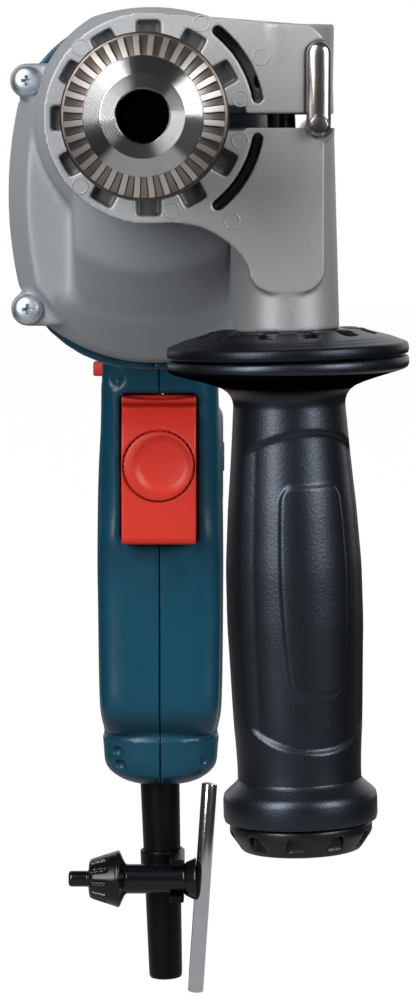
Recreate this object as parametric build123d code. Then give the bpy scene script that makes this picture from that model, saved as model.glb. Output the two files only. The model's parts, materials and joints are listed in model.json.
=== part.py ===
from build123d import *
from math import acos, cos, hypot, pi, radians, sin, tan
import os

# Corded pistol drill: keyed chuck, geared spindle, universal motor, clamped side handle with depth stop.
# Millimetres. +Z is up, the spindle lies along Y and the chuck points to -Y, so +X is the user's left.
# The origin is on the spindle axis, in the plane of the chuck's mouth.

# Clearances
RUN = 0.05  # shafts in bearings and sliding pieces in their guides
SEAT = 0.02  # fixed pieces in their seats
CLEAR = 0.35  # moving pieces that pass each other

# Chuck
CHUCK_BORE_R = 7.0
CHUCK_BORE_DEPTH = 24.0
CHUCK_LENGTH = 60.0
NOSE_R = 11.3
CONE_LENGTH = 4.0
NOSE_LENGTH = 10.5  # from the mouth back to the teeth
CORE_R = 16.0
CHUCK_REAR_R = 20.0
SLEEVE_TEETH = 32
TOOTH_RING_R = 21.5
TOOTH_RING_DROP = 4.0  # how far the toothed face slopes back
TOOTH_DEPTH = 1.5
SLEEVE_R = 22.6
SLEEVE_LENGTH = 27.0
NUT_START = 22.0
NUT_LENGTH = 9.0
NUT_R = 18.2
NUT_FLOOR_R = 11.0
NUT_SPLIT = 0.4
JAWS = 3
JAW_R = 3.8
JAW_LENGTH = 36.0
JAW_ANGLE = 15.0
JAW_SETBACK = 3.0  # tip behind the mouth when the chuck is open
JAW_MOUTH_R = 3.3  # where the jaw's axis crosses the plane of the mouth
JAW_PHASE = 42.0
KEY_HOLE_R = 2.8
KEY_HOLE_DEPTH = 4.0
CHUCK_SCREW_R = 3.0
CHUCK_SCREW_LENGTH = 22.0
SCREW_HEAD_R = 5.0
SCREW_HEAD_HEIGHT = 3.6
CHUCK_WEB = 5.0

# Spindle and gears
NECK_R = 21.5
NECK_LENGTH = 34.0
CHUCK_TO_NECK = 3.0
SPINDLE_R = 6.0
SPINDLE_NOSE_R = 6.3
SPINDLE_COLLAR_R = 8.5
REAR_JOURNAL_R = 5.0
FRONT_BEARING_R = 16.0
FRONT_BEARING_WIDTH = 10.0
SEAL_WIDTH = 5.0
SPACER_R = 9.0
GEAR_MODULE = 0.8
GEAR_TEETH = 48
PINION_TEETH = 7
PROFILE_SHIFT = 0.6
GEAR_ADDENDUM = 1.0
PINION_ADDENDUM = 0.78
PRESSURE_ANGLE = 20.0
BACKLASH = 0.12
GEAR_WIDTH = 10.0
CIRCLIP_WIDTH = 1.2
CIRCLIP_R = 8.0
CIRCLIP_GROOVE = 0.6
REAR_BUSH_R = 8.0
REAR_BUSH_LENGTH = 8.0

# Gear housing
CASE_LENGTH = 38.0
BUMP_R = 34.2
CROWN_TOP = 32.35
CROWN_R = 55.0  # the crown is arched flatter than the bump
SNOUT_HALF_WIDTH = 23.0
SNOUT_R = 48.0
FLANGE_LIP = 1.0  # how far the flange stands out beside the motor housing
FLANGE_BULGE = 3.0
FLANGE_SHOULDER = 27.0  # the flange bulges between this far above and below the motor
FLANGE_BOTTOM_R = 50.0
FOOT_ANGLE = 38.0  # the flange is round about the motor this far to each side of its bottom
FLANGE_DEPTH = 17.0
FLANGE_CHAMFER = 6.0
LUG_INSET = 5.0  # from the side of the motor housing in to a lug's screw
LUG_SPACING_Z = 67.0
LUG_R = 5.1
LUG_DEPTH = 13.0
CASE_SCREW_R = 2.5
CASE_SCREW_LENGTH = 28.0
CASE_HEAD_R = 4.5
CASE_HEAD_HEIGHT = 3.2
GEAR_ROOM_R = 27.0
PINION_ROOM_R = 17.0
GEAR_PLATE_THICKNESS = 10.0
GEAR_PLATE_INSET = 6.0
GEAR_PLATE_HEIGHT = 88.0
GEAR_PLATE_FLAT = 4.0  # straight part of the plate's top and bottom edge

# Motor
ARMATURE_SHAFT_R = 5.0
ARMATURE_FRONT_R = 4.0
ARMATURE_REAR_R = 3.5
FRONT_MOTOR_BEARING_R = 11.0
FRONT_MOTOR_BEARING_WIDTH = 7.0
REAR_MOTOR_BEARING_R = 9.5
REAR_MOTOR_BEARING_WIDTH = 6.0
FAN_R = 27.0
FAN_WIDTH = 12.0
FAN_BLADES = 9
CORE_OUTER_R = 17.0
CORE_SLOTS = 12
CORE_LENGTH = 45.0
END_TURN_R = 15.5
END_TURN_LENGTH = 8.0
COMMUTATOR_R = 11.0
COMMUTATOR_LENGTH = 18.0
COMMUTATOR_BARS = 24
AIR_GAP = 0.6
STATOR_R = 29.0
POLE_HALF_ANGLE = 52.0
COIL_DEPTH = 6.5
COIL_OVERHANG = 7.0
BRUSH_WIDTH = 8.0
BRUSH_THICKNESS = 6.0
BRUSH_LENGTH = 13.0
BRUSH_BOX_WALL = 1.0
BRUSH_SPRING_R = 2.6
BRUSH_SPRING_WALL = 0.7

# Motor housing and grip
MOTOR_LENGTH = 145.0
WALL = 3.0
BODY_WIDTH = 84.0
BODY_HEIGHT = 105.5
BODY_RAISE = 0.75  # the barrel's middle above the motor axis
BODY_FLAT = 8.0  # straight part of the barrel's top and bottom edge
REAR_WIDTH = 70.0
REAR_HEIGHT = 82.0
REAR_RAISE = 4.0
REAR_FLAT = 6.0
BODY_STRAIGHT = 30.0
BODY_DOME = 22.0
RIB = 3.0
VENT_WIDTH = 3.0
VENT_PITCH = 7.0
VENT_COUNT = 5
VENT_HEIGHT = 24.0
GRIP_LENGTH = 192.5  # from the motor axis down to the grip's end
GRIP_DEPTH = 56.0
GRIP_HALF_WIDTH = 20.0
GRIP_FRONT = 69.0  # from the gear housing's rear face back to the front of the grip
GRIP_WALL = 2.8
HOUSING_SCREW_R = 2.0
HOUSING_SCREW_HEAD_R = 3.6
HOUSING_SCREW_HEAD = 2.6
FRONT_SCREW = 24.0  # from the gear housing back to the upper front screw
HOUSING_SCREW_BITE = 10.0  # how far a joining screw reaches past the seam
BOSS_R = 4.8
GRIP_FLOOR = 5.0

# Switch, trigger and buttons
TRIGGER_HALF_WIDTH = 11.8
TRIGGER_HEIGHT = 47.0
TRIGGER_TOP = -86.2
TRIGGER_PROUD = 9.0  # how far the trigger stands out of the grip
TRIGGER_DEPTH = 16.0
TRIGGER_TRAVEL = 6.0
TRIGGER_CORNER = 3.0
STEM_R = 3.0
STEM_LENGTH = 18.0
SPRING_WALL = 1.2
SPRING_POCKET = 6.0
DIAL_R = 11.15
DIAL_THICKNESS = 4.5
DIAL_PROUD = 1.5
DIAL_PIN_R = 2.0
DIAL_PIN_LENGTH = 5.0
DIAL_SERRATIONS = 40
DIAL_BELOW_TRIGGER_TOP = 21.85
SWITCH_HALF_WIDTH = 8.0
SWITCH_DEPTH = 28.0
SWITCH_HEIGHT = 36.0
LEVER_HEIGHT = 4.6
LEVER_DEPTH = 5.6
LEVER_PROUD = 2.4
LEVER_TRAVEL = 4.0
LEVER_ABOVE_TRIGGER = 5.8
LOCK_BUTTON_R = 5.0
LOCK_BUTTON_PROUD = 0.4
LOCK_BUTTON_TRAVEL = 1.8
LOCK_FLANGE_R = 6.6
LOCK_FLANGE = 2.0
LOCK_BOSS_HEIGHT = 30.0
LOCK_BOSS_WIDTH = 17.0
LOCK_BOSS_PROUD = 0.3
LOCK_BELOW_TRIGGER_TOP = 21.3

# Strain relief boot and chuck key
BOOT_TOP_R = 6.45
BOOT_END_R = 5.45
BOOT_LENGTH = 66.0
BOOT_BORE_R = 3.6
BOOT_FLANGE_R = 9.0
BOOT_FLANGE = 4.0
BOOT_LEAN = 1.65
BOOT_X = -0.5
BOOT_SETBACK = 31.0  # from the front of the grip back to the boot
KEY_DROP = 28.5  # from the grip's end down to the key's axis
KEY_AHEAD = 16.0  # from the boot's axis forward to the key's axis
KEY_SHAFT_R = 4.8
KEY_PILOT_R = 2.6
KEY_PILOT_LENGTH = 6.0
KEY_GEAR_R = 9.3
KEY_GEAR_NOSE_R = 6.2
KEY_GEAR_LENGTH = 11.7
KEY_TEETH = 12
KEY_START_X = -29.3
KEY_HEAD_X = 8.0
KEY_HEAD_R = 7.0
KEY_HEAD_LENGTH = 3.6
BAR_R = 2.53
BAR_LENGTH = 68.6
BAR_TILT = 3.84
BAR_GROOVE = 0.2
BAR_LOWER = 4.5  # how far the bar's middle lies below the key's axis
HOLDER_WALL = 2.2
COLLAR_WALL = 1.0
HOLDER_WIDTH = 4.6
HOLDER_HEIGHT = 12.0

# Side handle
CLAMP_FRONT = 66.0
CLAMP_DEPTH = 22.0
CLAMP_RING_R = 29.5
CLAMP_NOTCHES = 12
NOTCH_R = 27.2
NOTCH_WIDTH = 6.7
NOTCH_DEPTH = 3.0
PLATE_THICKNESS = 5.0
PLATE_EDGE = 1.8  # from the depth stop's axis out to the plate's right edge
PLATE_TOP = 29.2
TONGUE_BOTTOM = -48.7
TONGUE_LEFT = 28.0
TONGUE_CORNER = 7.0
SLIT_TOP = 1.25
SLIT_BOTTOM = -2.65
ARC_SLOT_R = 31.0
ARC_SLOT_WIDTH = 3.0
ARC_SLOT_START = 10.5
ARC_SLOT_SPAN = 41.0
ARC_SLOT_DEPTH = 14.0
COLUMN_R = 14.85
COLUMN_TOP = 26.0
COLUMN_DRAFT = 0.8  # how much wider the column is at its top
COLUMN_END = -59.7
EAR_TOP = 26.0
EAR_LOW = -30.0
HANDLE_INSIDE = 9.35  # from the depth stop's axis in to the handle's axis
HANDLE_PIVOT_Z = -30.0
HANDLE_LEAN = 1.7
BOLT_R = 4.0
BOLT_HEAD_SEAT = 9.0
BOLT_HEAD_HEIGHT = 5.3
BOLT_HEAD_ACROSS = 13.0
BOLT_LENGTH = 115.0
DISC_R = 34.5
DISC_THICKNESS = 7.5
DISC_RIM = 3.5
DISC_PLATFORM_R = 27.0
DISC_NOTCHES = 8
DISC_NOTCH_WIDTH = 5.5
GRIP_FLANGE_RIM = 3.4
GRIP_NECK_R = 16.0
GRIP_BELLY_R = 19.5
GRIP_WAIST_R = 17.8
GRIP_END_R = 22.2
SIDE_GRIP_LENGTH = 133.3
CAP_LENGTH = 8.3
CAP_R = 20.5
CAP_END_R = 17.0
CAP_NOTCHES = 10
CAP_NOTCH_WIDTH = 6.5
CAP_PLUG_LENGTH = 8.0
GRIP_HOLLOW_R = 9.5
GRIP_NUT_LENGTH = 20.0
GRIP_NUT_ACROSS = 13.0
DEPTH_ROD_R = 3.0
DEPTH_ROD_LENGTH = 150.0
DEPTH_ROD_PASS = 2.5  # between the depth stop and the side of the motor housing
DEPTH_ROD_Z = -2.0
DEPTH_ROD_WALL = 1.8
DEPTH_ROD_PROUD = 4.0
DEPTH_LEG_TOP = 21.3
DEPTH_LEG_THICKNESS = 3.8
DEPTH_LEG_SUNK = 1.2
DEPTH_LEG_WIDTH = 7.0

# Stations along the spindle
NECK_START = CHUCK_LENGTH + CHUCK_TO_NECK
NECK_END = NECK_START + NECK_LENGTH
CASE_END = NECK_END + CASE_LENGTH
REAR = CASE_END + MOTOR_LENGTH
PLATE_START = CASE_END - GEAR_PLATE_THICKNESS
FLANGE_START = CASE_END - FLANGE_DEPTH
BEARING_START = NECK_START + SEAL_WIDTH + 2.0
BEARING_END = BEARING_START + FRONT_BEARING_WIDTH
BUSH_START = PLATE_START
BUSH_END = BUSH_START + REAR_BUSH_LENGTH
GEAR_END = PLATE_START - 7.0
GEAR_START = GEAR_END - GEAR_WIDTH
SPINDLE_START = CHUCK_BORE_DEPTH + SCREW_HEAD_HEIGHT + CHUCK_WEB

# The motor lies below the spindle by the centre distance of the gear pair.
CENTRE_DISTANCE = GEAR_MODULE * (GEAR_TEETH + PINION_TEETH) / 2
MOTOR_Z = -CENTRE_DISTANCE
BODY_Z = MOTOR_Z + BODY_RAISE
LUG_TOP_Z = MOTOR_Z + LUG_SPACING_Z / 2
LUG_LOW_Z = MOTOR_Z - LUG_SPACING_Z / 2

# Stations along the motor
MOTOR_BEARING_START = CASE_END - FRONT_MOTOR_BEARING_WIDTH
FAN_START = CASE_END + RIB + 2.0
FAN_END = FAN_START + FAN_WIDTH
CORE_START = FAN_END + END_TURN_LENGTH
CORE_END = CORE_START + CORE_LENGTH
COMMUTATOR_START = CORE_END + END_TURN_LENGTH + 4.0
COMMUTATOR_END = COMMUTATOR_START + COMMUTATOR_LENGTH
REAR_BEARING_START = COMMUTATOR_END + 9.0
REAR_BEARING_END = REAR_BEARING_START + REAR_MOTOR_BEARING_WIDTH
BRUSH_Y = COMMUTATOR_START + COMMUTATOR_LENGTH / 2

# Grip stations
GRIP_END_Z = MOTOR_Z - GRIP_LENGTH
GRIP_FRONT_Y = CASE_END + GRIP_FRONT
TRIGGER_FRONT = GRIP_FRONT_Y - TRIGGER_PROUD
TRIGGER_BACK = TRIGGER_FRONT + TRIGGER_DEPTH
TRIGGER_BOTTOM = TRIGGER_TOP - TRIGGER_HEIGHT
TRIGGER_MID = (TRIGGER_TOP + TRIGGER_BOTTOM) / 2
SWITCH_FRONT = TRIGGER_BACK + TRIGGER_TRAVEL + 1.0
SWITCH_TOP = TRIGGER_MID + SWITCH_HEIGHT / 2
SWITCH_LOW = TRIGGER_MID - SWITCH_HEIGHT / 2
LEVER_Z = TRIGGER_TOP + LEVER_ABOVE_TRIGGER + LEVER_HEIGHT / 2
LEVER_Y = GRIP_FRONT_Y + 7.0
LOCK_Z = TRIGGER_TOP - LOCK_BELOW_TRIGGER_TOP
LOCK_Y = SWITCH_FRONT + SWITCH_DEPTH / 3
BOOT_Y = GRIP_FRONT_Y + BOOT_SETBACK
KEY_Y = BOOT_Y - KEY_AHEAD
KEY_Z = GRIP_END_Z - KEY_DROP

LOCK_SEAT_X = GRIP_HALF_WIDTH - GRIP_WALL
LOCK_FACE_X = GRIP_HALF_WIDTH + LOCK_BOSS_PROUD
STEM_END = TRIGGER_BACK + STEM_LENGTH
SPRING_START = TRIGGER_BACK - SPRING_POCKET
SPRING_R = STEM_R + CLEAR + SPRING_WALL
DIAL_SEAT = TRIGGER_FRONT - DIAL_PROUD + DIAL_THICKNESS
DIAL_Z = TRIGGER_TOP - DIAL_BELOW_TRIGGER_TOP

# Widths that follow the motor housing
BODY_CORNER = (BODY_WIDTH - BODY_FLAT) / 2
REAR_CORNER = (REAR_WIDTH - REAR_FLAT) / 2
FLANGE_HALF_WIDTH = BODY_WIDTH / 2 + FLANGE_LIP
LUG_X = BODY_WIDTH / 2 - LUG_INSET
GEAR_PLATE_WIDTH = BODY_WIDTH - 2 * GEAR_PLATE_INSET
GEAR_PLATE_CORNER = (GEAR_PLATE_WIDTH - GEAR_PLATE_FLAT) / 2
DEPTH_ROD_X = BODY_WIDTH / 2 + DEPTH_ROD_R + DEPTH_ROD_PASS
PLATE_RIGHT = DEPTH_ROD_X + PLATE_EDGE
HANDLE_X = DEPTH_ROD_X - HANDLE_INSIDE

# Handle stations, down its own axis
HANDLE_Y = CLAMP_FRONT + COLUMN_R + 0.2
DISC_END = COLUMN_END - DISC_THICKNESS
GRIP_TOP = DISC_END - CLEAR
SIDE_GRIP_END = GRIP_TOP - SIDE_GRIP_LENGTH
GRIP_NUT_TOP = GRIP_TOP - 15.0
CAP_END = SIDE_GRIP_END - CAP_LENGTH


def turned(*corners):
    """Solid turned about the spindle axis from (radius, y) corners."""
    return revolve(make_face(Polyline(*corners, close=True)), Axis.Y)


def turned_z(*corners):
    """Solid turned about Z from (radius, z) corners."""
    return revolve(Plane.XZ * make_face(Polyline(*corners, close=True)), Axis.Z)


def ring(inner, outer, y0, y1):
    return turned((inner, y0), (outer, y0), (outer, y1), (inner, y1))


def rod(radius, y0, y1, x=0.0, z=0.0):
    return Pos(x, 0, z) * turned((0, y0), (radius, y0), (radius, y1), (0, y1))


def block(x0, x1, y0, y1, z0, z1):
    centre = Pos((x0 + x1) / 2, (y0 + y1) / 2, (z0 + z1) / 2)
    return centre * Box(x1 - x0, y1 - y0, z1 - z0)


def front_plane(y):
    """Plane across the spindle at y, drawn in x and z."""
    return Plane(origin=(0, y, 0), x_dir=(1, 0, 0), z_dir=(0, -1, 0))


def slab(sketch, y0, y1):
    """Sketch drawn in x and z, as thick as y0 to y1."""
    return extrude(front_plane(y1) * sketch, y1 - y0)


def round_spindle(solid, count, start=0.0):
    """Copies of a solid in equal steps about the spindle axis."""
    return [Rot(0, start + 360 * k / count, 0) * solid for k in range(count)]


def on_motor(solid):
    return Pos(0, 0, MOTOR_Z) * solid


def on_handle(solid):
    """Puts a solid that was drawn about the Z axis on the leaning axis of the side handle."""
    pivot = Pos(HANDLE_X, HANDLE_Y, HANDLE_PIVOT_Z)
    return pivot * Rot(0, -HANDLE_LEAN, 0) * Pos(0, 0, -HANDLE_PIVOT_Z) * solid


def gear_section(teeth, shift, addendum, phase):
    """Involute spur gear section, thinned for backlash, with a tooth centred at the phase angle."""
    pitch_r = GEAR_MODULE * teeth / 2
    base_r = pitch_r * cos(radians(PRESSURE_ANGLE))
    root_r = pitch_r + GEAR_MODULE * (shift - 1.25)
    tip_r = pitch_r + GEAR_MODULE * (shift + addendum)
    thickness = GEAR_MODULE * (pi / 2 + 2 * shift * tan(radians(PRESSURE_ANGLE))) - BACKLASH / 2

    def involute(radius):
        angle = acos(min(1.0, base_r / radius))
        return tan(angle) - angle

    start_r = max(base_r, root_r)
    half_at_pitch = thickness / 2 / pitch_r + involute(pitch_r)
    steps = 5
    flank = [(root_r, half_at_pitch - involute(start_r))]
    for k in range(steps + 1):
        radius = start_r + (tip_r - start_r) * k / steps
        flank.append((radius, half_at_pitch - involute(radius)))
    if root_r >= base_r:
        flank = flank[1:]
    points = []
    for tooth in range(teeth):
        middle = radians(phase) + 2 * pi * tooth / teeth
        rising = [(r, middle - half) for r, half in flank]
        falling = [(r, middle + half) for r, half in reversed(flank)]
        points += [(r * cos(a), r * sin(a)) for r, a in rising + falling]
    return make_face(Polyline(*points, close=True))


# Chuck


def jaw_plane(y):
    """Plane across the first jaw's leaning axis, where that axis is at y."""
    lean = radians(JAW_ANGLE)
    return Plane(origin=(JAW_MOUTH_R + y * tan(lean), y, 0), z_dir=(sin(lean), cos(lean), 0))


def jaw_channel():
    length = JAW_SETBACK + JAW_LENGTH + 8.0
    upright = (Align.CENTER, Align.CENTER, Align.MIN)
    return jaw_plane(-6.0) * Cylinder(JAW_R + 2 * RUN, length, align=upright)


def chuck_jaw():
    upright = (Align.CENTER, Align.CENTER, Align.MIN)
    bar = jaw_plane(JAW_SETBACK) * Cylinder(JAW_R, JAW_LENGTH, align=upright)
    grip_r = CHUCK_BORE_R + RUN
    reach = 4 * JAW_R
    spread = reach * tan(radians(60))
    wedge = make_face(Polyline((grip_r, 0), (grip_r + reach, spread), (grip_r + reach, -spread), close=True))
    return bar & slab(wedge, 0, CHUCK_LENGTH)


def chuck_body():
    nut_end = NUT_START + NUT_LENGTH
    shoulder = NOSE_LENGTH + SLEEVE_LENGTH + 0.5
    body = turned(
        (0, 0),
        (NOSE_R, 0),
        (CORE_R, CONE_LENGTH),
        (CORE_R, NUT_START),
        (NUT_FLOOR_R, NUT_START),
        (NUT_FLOOR_R, nut_end),
        (NUT_R - 0.2, nut_end),
        (NUT_R - 0.2, shoulder),
        (CHUCK_REAR_R, shoulder),
        (CHUCK_REAR_R, CHUCK_LENGTH - 2.0),
        (CHUCK_REAR_R - 2.0, CHUCK_LENGTH),
        (0, CHUCK_LENGTH),
    )
    body -= rod(CHUCK_BORE_R, -1, CHUCK_BORE_DEPTH)
    body -= rod(SCREW_HEAD_R + SEAT, -1, CHUCK_BORE_DEPTH + SCREW_HEAD_HEIGHT)
    body -= rod(CHUCK_SCREW_R + SEAT, -1, CHUCK_LENGTH + 1)
    body -= rod(SPINDLE_NOSE_R + SEAT, SPINDLE_START, CHUCK_LENGTH + 1)
    body -= round_spindle(jaw_channel(), JAWS, -JAW_PHASE)
    hole = along_x(rod(KEY_HOLE_R, CORE_R - KEY_HOLE_DEPTH, 2 * CORE_R), (CONE_LENGTH + NOSE_LENGTH) / 2, 0)
    return body - round_spindle(hole, JAWS, -JAW_PHASE - 180 / JAWS)


def sleeve_tooth_gap():
    """One wedge-shaped gap between the bevel teeth, at the right of the sleeve."""
    inner_r = CORE_R + RUN
    run = TOOTH_RING_R - inner_r
    angle = radians(90) - acos(TOOTH_RING_DROP / hypot(run, TOOTH_RING_DROP))
    middle_r = (TOOTH_RING_R + inner_r) / 2
    face = Plane(
        origin=(middle_r, NOSE_LENGTH + TOOTH_RING_DROP / 2, 0),
        x_dir=(cos(angle), sin(angle), 0),
        z_dir=(sin(angle), -cos(angle), 0),
    )
    half = hypot(run, TOOTH_RING_DROP) / 2 + 1.0
    outer_gap = pi * TOOTH_RING_R / SLEEVE_TEETH / 2
    inner_gap = outer_gap * 0.62
    corners = [(-half, -inner_gap), (half, -outer_gap), (half, outer_gap), (-half, inner_gap)]
    return extrude(face * make_face(Polyline(*corners, close=True)), TOOTH_DEPTH, both=True)


def chuck_sleeve():
    front = NOSE_LENGTH
    rear = NOSE_LENGTH + SLEEVE_LENGTH
    rim = front + TOOTH_RING_DROP + 3.0
    sleeve = turned(
        (CORE_R + RUN, front),
        (TOOTH_RING_R, front + TOOTH_RING_DROP),
        (TOOTH_RING_R, rim),
        (SLEEVE_R, rim + 1.0),
        (SLEEVE_R, rear - 1.0),
        (SLEEVE_R - 1.0, rear),
        (NUT_R, rear),
        (NUT_R, NUT_START),
        (CORE_R + RUN, NUT_START),
    )
    return sleeve - round_spindle(sleeve_tooth_gap(), SLEEVE_TEETH)


def chuck_nut():
    lean = radians(JAW_ANGLE)
    start = NUT_START + 0.1
    end = NUT_START + NUT_LENGTH - 0.2
    clear = (JAW_R + 3 * RUN) / cos(lean) + JAW_MOUTH_R
    outer = NUT_R - SEAT
    nut = turned(
        (clear + start * tan(lean), start),
        (outer, start),
        (outer, end),
        (clear + end * tan(lean), end),
    )
    return nut - block(-NUT_SPLIT / 2, NUT_SPLIT / 2, start - 1, end + 1, -2 * NUT_R, 2 * NUT_R)


def chuck_screw():
    head_end = CHUCK_BORE_DEPTH + SCREW_HEAD_HEIGHT
    screw = turned(
        (0, CHUCK_BORE_DEPTH + 0.2),
        (SCREW_HEAD_R, CHUCK_BORE_DEPTH + 0.2),
        (SCREW_HEAD_R, head_end),
        (CHUCK_SCREW_R, head_end),
        (CHUCK_SCREW_R, head_end + CHUCK_SCREW_LENGTH),
        (0, head_end + CHUCK_SCREW_LENGTH),
    )
    slot = block(-SCREW_HEAD_R, SCREW_HEAD_R, 0, CHUCK_BORE_DEPTH + 1.6, -0.6, 0.6)
    return screw - slot


# Spindle and gear train


def spindle():
    groove = GEAR_END + CIRCLIP_WIDTH
    shaft = turned(
        (0, SPINDLE_START + 0.5),
        (SPINDLE_NOSE_R, SPINDLE_START + 0.5),
        (SPINDLE_NOSE_R, CHUCK_LENGTH),
        (SPINDLE_COLLAR_R, CHUCK_LENGTH),
        (SPINDLE_COLLAR_R, BEARING_START),
        (SPINDLE_R, BEARING_START),
        (SPINDLE_R, GEAR_END),
        (SPINDLE_R - CIRCLIP_GROOVE, GEAR_END),
        (SPINDLE_R - CIRCLIP_GROOVE, groove),
        (SPINDLE_R, groove),
        (SPINDLE_R, groove + 1.5),
        (REAR_JOURNAL_R, groove + 1.5),
        (REAR_JOURNAL_R, BUSH_END),
        (0, BUSH_END),
    )
    tapped_end = CHUCK_BORE_DEPTH + SCREW_HEAD_HEIGHT + CHUCK_SCREW_LENGTH + 1.0
    return shaft - rod(CHUCK_SCREW_R + SEAT, SPINDLE_START, tapped_end)


def bearing(bore_r, outer_r, y0, y1):
    """Ball bearing with its shields set back between the two races."""
    wall = (outer_r - bore_r) * 0.28
    races = ring(bore_r, outer_r, y0, y1)
    for shield in (y0, y1):
        races -= ring(bore_r + wall, outer_r - wall, shield - 0.5, shield + 0.5)
    return races


def output_gear():
    gap_at_motor = 270 + 180 / GEAR_TEETH
    teeth = gear_section(GEAR_TEETH, -PROFILE_SHIFT, GEAR_ADDENDUM, gap_at_motor)
    wheel = slab(teeth, GEAR_START, GEAR_END)
    web = ring(SPACER_R + 1.5, GEAR_MODULE * GEAR_TEETH / 2 - 4.0, GEAR_END - 2.5, GEAR_END + 1)
    return wheel - web - rod(SPINDLE_R + SEAT, GEAR_START - 1, GEAR_END + 1)


def gear_circlip():
    inner = SPINDLE_R - CIRCLIP_GROOVE + SEAT
    clip = ring(inner, CIRCLIP_R, GEAR_END + SEAT, GEAR_END + CIRCLIP_WIDTH - SEAT)
    return clip - block(-2.0, 2.0, GEAR_END - 1, GEAR_END + CIRCLIP_WIDTH + 1, 0, 2 * CIRCLIP_R)


def gear_plate_section(grow=0.0):
    size = (GEAR_PLATE_WIDTH + 2 * grow, GEAR_PLATE_HEIGHT + 2 * grow)
    return Pos(0, MOTOR_Z) * RectangleRounded(*size, GEAR_PLATE_CORNER + grow)


def gear_plate():
    plate = slab(gear_plate_section(), PLATE_START, CASE_END)
    plate -= rod(REAR_BUSH_R + SEAT, PLATE_START - 1, BUSH_END)
    plate -= on_motor(rod(FRONT_MOTOR_BEARING_R + SEAT, MOTOR_BEARING_START, CASE_END + 1))
    return plate - on_motor(rod(ARMATURE_SHAFT_R + 1.0, PLATE_START - 1, CASE_END + 1))


# Gear housing


def flange_outline(inset):
    """Outline of the gear housing's rear flange in x and z, drawn in by the inset."""
    side = FLANGE_HALF_WIDTH - inset
    shoulder = side - FLANGE_BULGE
    high = MOTOR_Z + FLANGE_SHOULDER
    low = MOTOR_Z - FLANGE_SHOULDER
    round_r = FLANGE_BOTTOM_R - inset
    bottom, curve, foot = (
        (round_r * sin(radians(a)), MOTOR_Z - round_r * cos(radians(a))) for a in (0.0, 0.5 * FOOT_ANGLE, FOOT_ANGLE)
    )
    crown_x = SNOUT_HALF_WIDTH + 1.0 - inset
    crown_z = CROWN_TOP - 7.0
    right = [
        ThreePointArc(bottom, curve, foot),
        Line(foot, (shoulder, low)),
        ThreePointArc((shoulder, low), (side, MOTOR_Z), (shoulder, high)),
        Line((shoulder, high), (crown_x, crown_z)),
        Line((crown_x, crown_z), (0, CROWN_TOP - 1.0)),
    ]
    left = [mirror(edge, Plane.YZ) for edge in right]
    return make_face(right + left)


def lug_places():
    return [(side * LUG_X, z) for side in (-1, 1) for z in (LUG_TOP_Z, LUG_LOW_Z)]


def gear_housing():
    neck = rod(NECK_R, NECK_START, NECK_END + 1)
    crown = turned(
        (0, NECK_END - 1),
        (NECK_R, NECK_END - 1),
        (NECK_R, NECK_END),
        (BUMP_R - 5.0, NECK_END + 3.5),
        (BUMP_R, NECK_END + 10.0),
        (BUMP_R, CASE_END),
        (0, CASE_END),
    )
    crown &= rod(CROWN_R, NECK_START, CASE_END + 1, 0, CROWN_TOP - CROWN_R)
    bottom_r = CENTRE_DISTANCE + FLANGE_BOTTOM_R
    bell = turned(
        (0, NECK_END - 1),
        (NECK_R, NECK_END - 1),
        (NECK_R, NECK_END),
        (NECK_R + 6.0, NECK_END + 1.5),
        (SNOUT_R - 4.0, NECK_END + 7.0),
        (SNOUT_R, NECK_END + 11.0),
        (bottom_r - 8.0, FLANGE_START + 5.0),
        (bottom_r, FLANGE_START + 11.0),
        (bottom_r, CASE_END),
        (0, CASE_END),
    )
    snout = bell & block(-SNOUT_HALF_WIDTH, SNOUT_HALF_WIDTH, NECK_START, CASE_END, -2 * bottom_r, 0)
    snout &= on_motor(rod(FLANGE_BOTTOM_R, NECK_START, CASE_END + 1))
    chamfer_end = FLANGE_START + 0.6 * FLANGE_DEPTH
    front = front_plane(FLANGE_START) * flange_outline(FLANGE_CHAMFER)
    back = front_plane(chamfer_end) * flange_outline(0)
    skirt = loft([front, back], ruled=True)
    flange = slab(flange_outline(0), chamfer_end, CASE_END)
    housing = neck + crown + snout + skirt + flange
    for x, z in lug_places():
        housing += rod(LUG_R, CASE_END - LUG_DEPTH, CASE_END, x, z)
        inner = x * 0.6
        housing += block(min(x, inner), max(x, inner), CASE_END - LUG_DEPTH, CASE_END, z - LUG_R, z + LUG_R)
    housing -= rod(FRONT_BEARING_R + SEAT, NECK_START - 1, BEARING_END)
    housing -= rod(FRONT_BEARING_R - 3.0, NECK_START, PLATE_START)
    housing -= rod(GEAR_ROOM_R, NECK_END + 8.0, PLATE_START + 1)
    housing -= on_motor(rod(PINION_ROOM_R, NECK_END + 12.0, PLATE_START + 1))
    housing -= slab(gear_plate_section(SEAT), PLATE_START, CASE_END + 1)
    for x, z in lug_places():
        housing -= rod(CASE_SCREW_R + SEAT, NECK_END, CASE_END + 1, x, z)
        housing -= rod(CASE_HEAD_R + CLEAR, NECK_END, CASE_END - LUG_DEPTH, x, z)
    return housing


def cross_recess(radius, depth):
    """Cutter for a cross recess that opens towards -Y at y = 0."""
    arm = block(-radius, radius, -1, depth, -radius * 0.28, radius * 0.28)
    return arm + Rot(0, 90, 0) * arm


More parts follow.
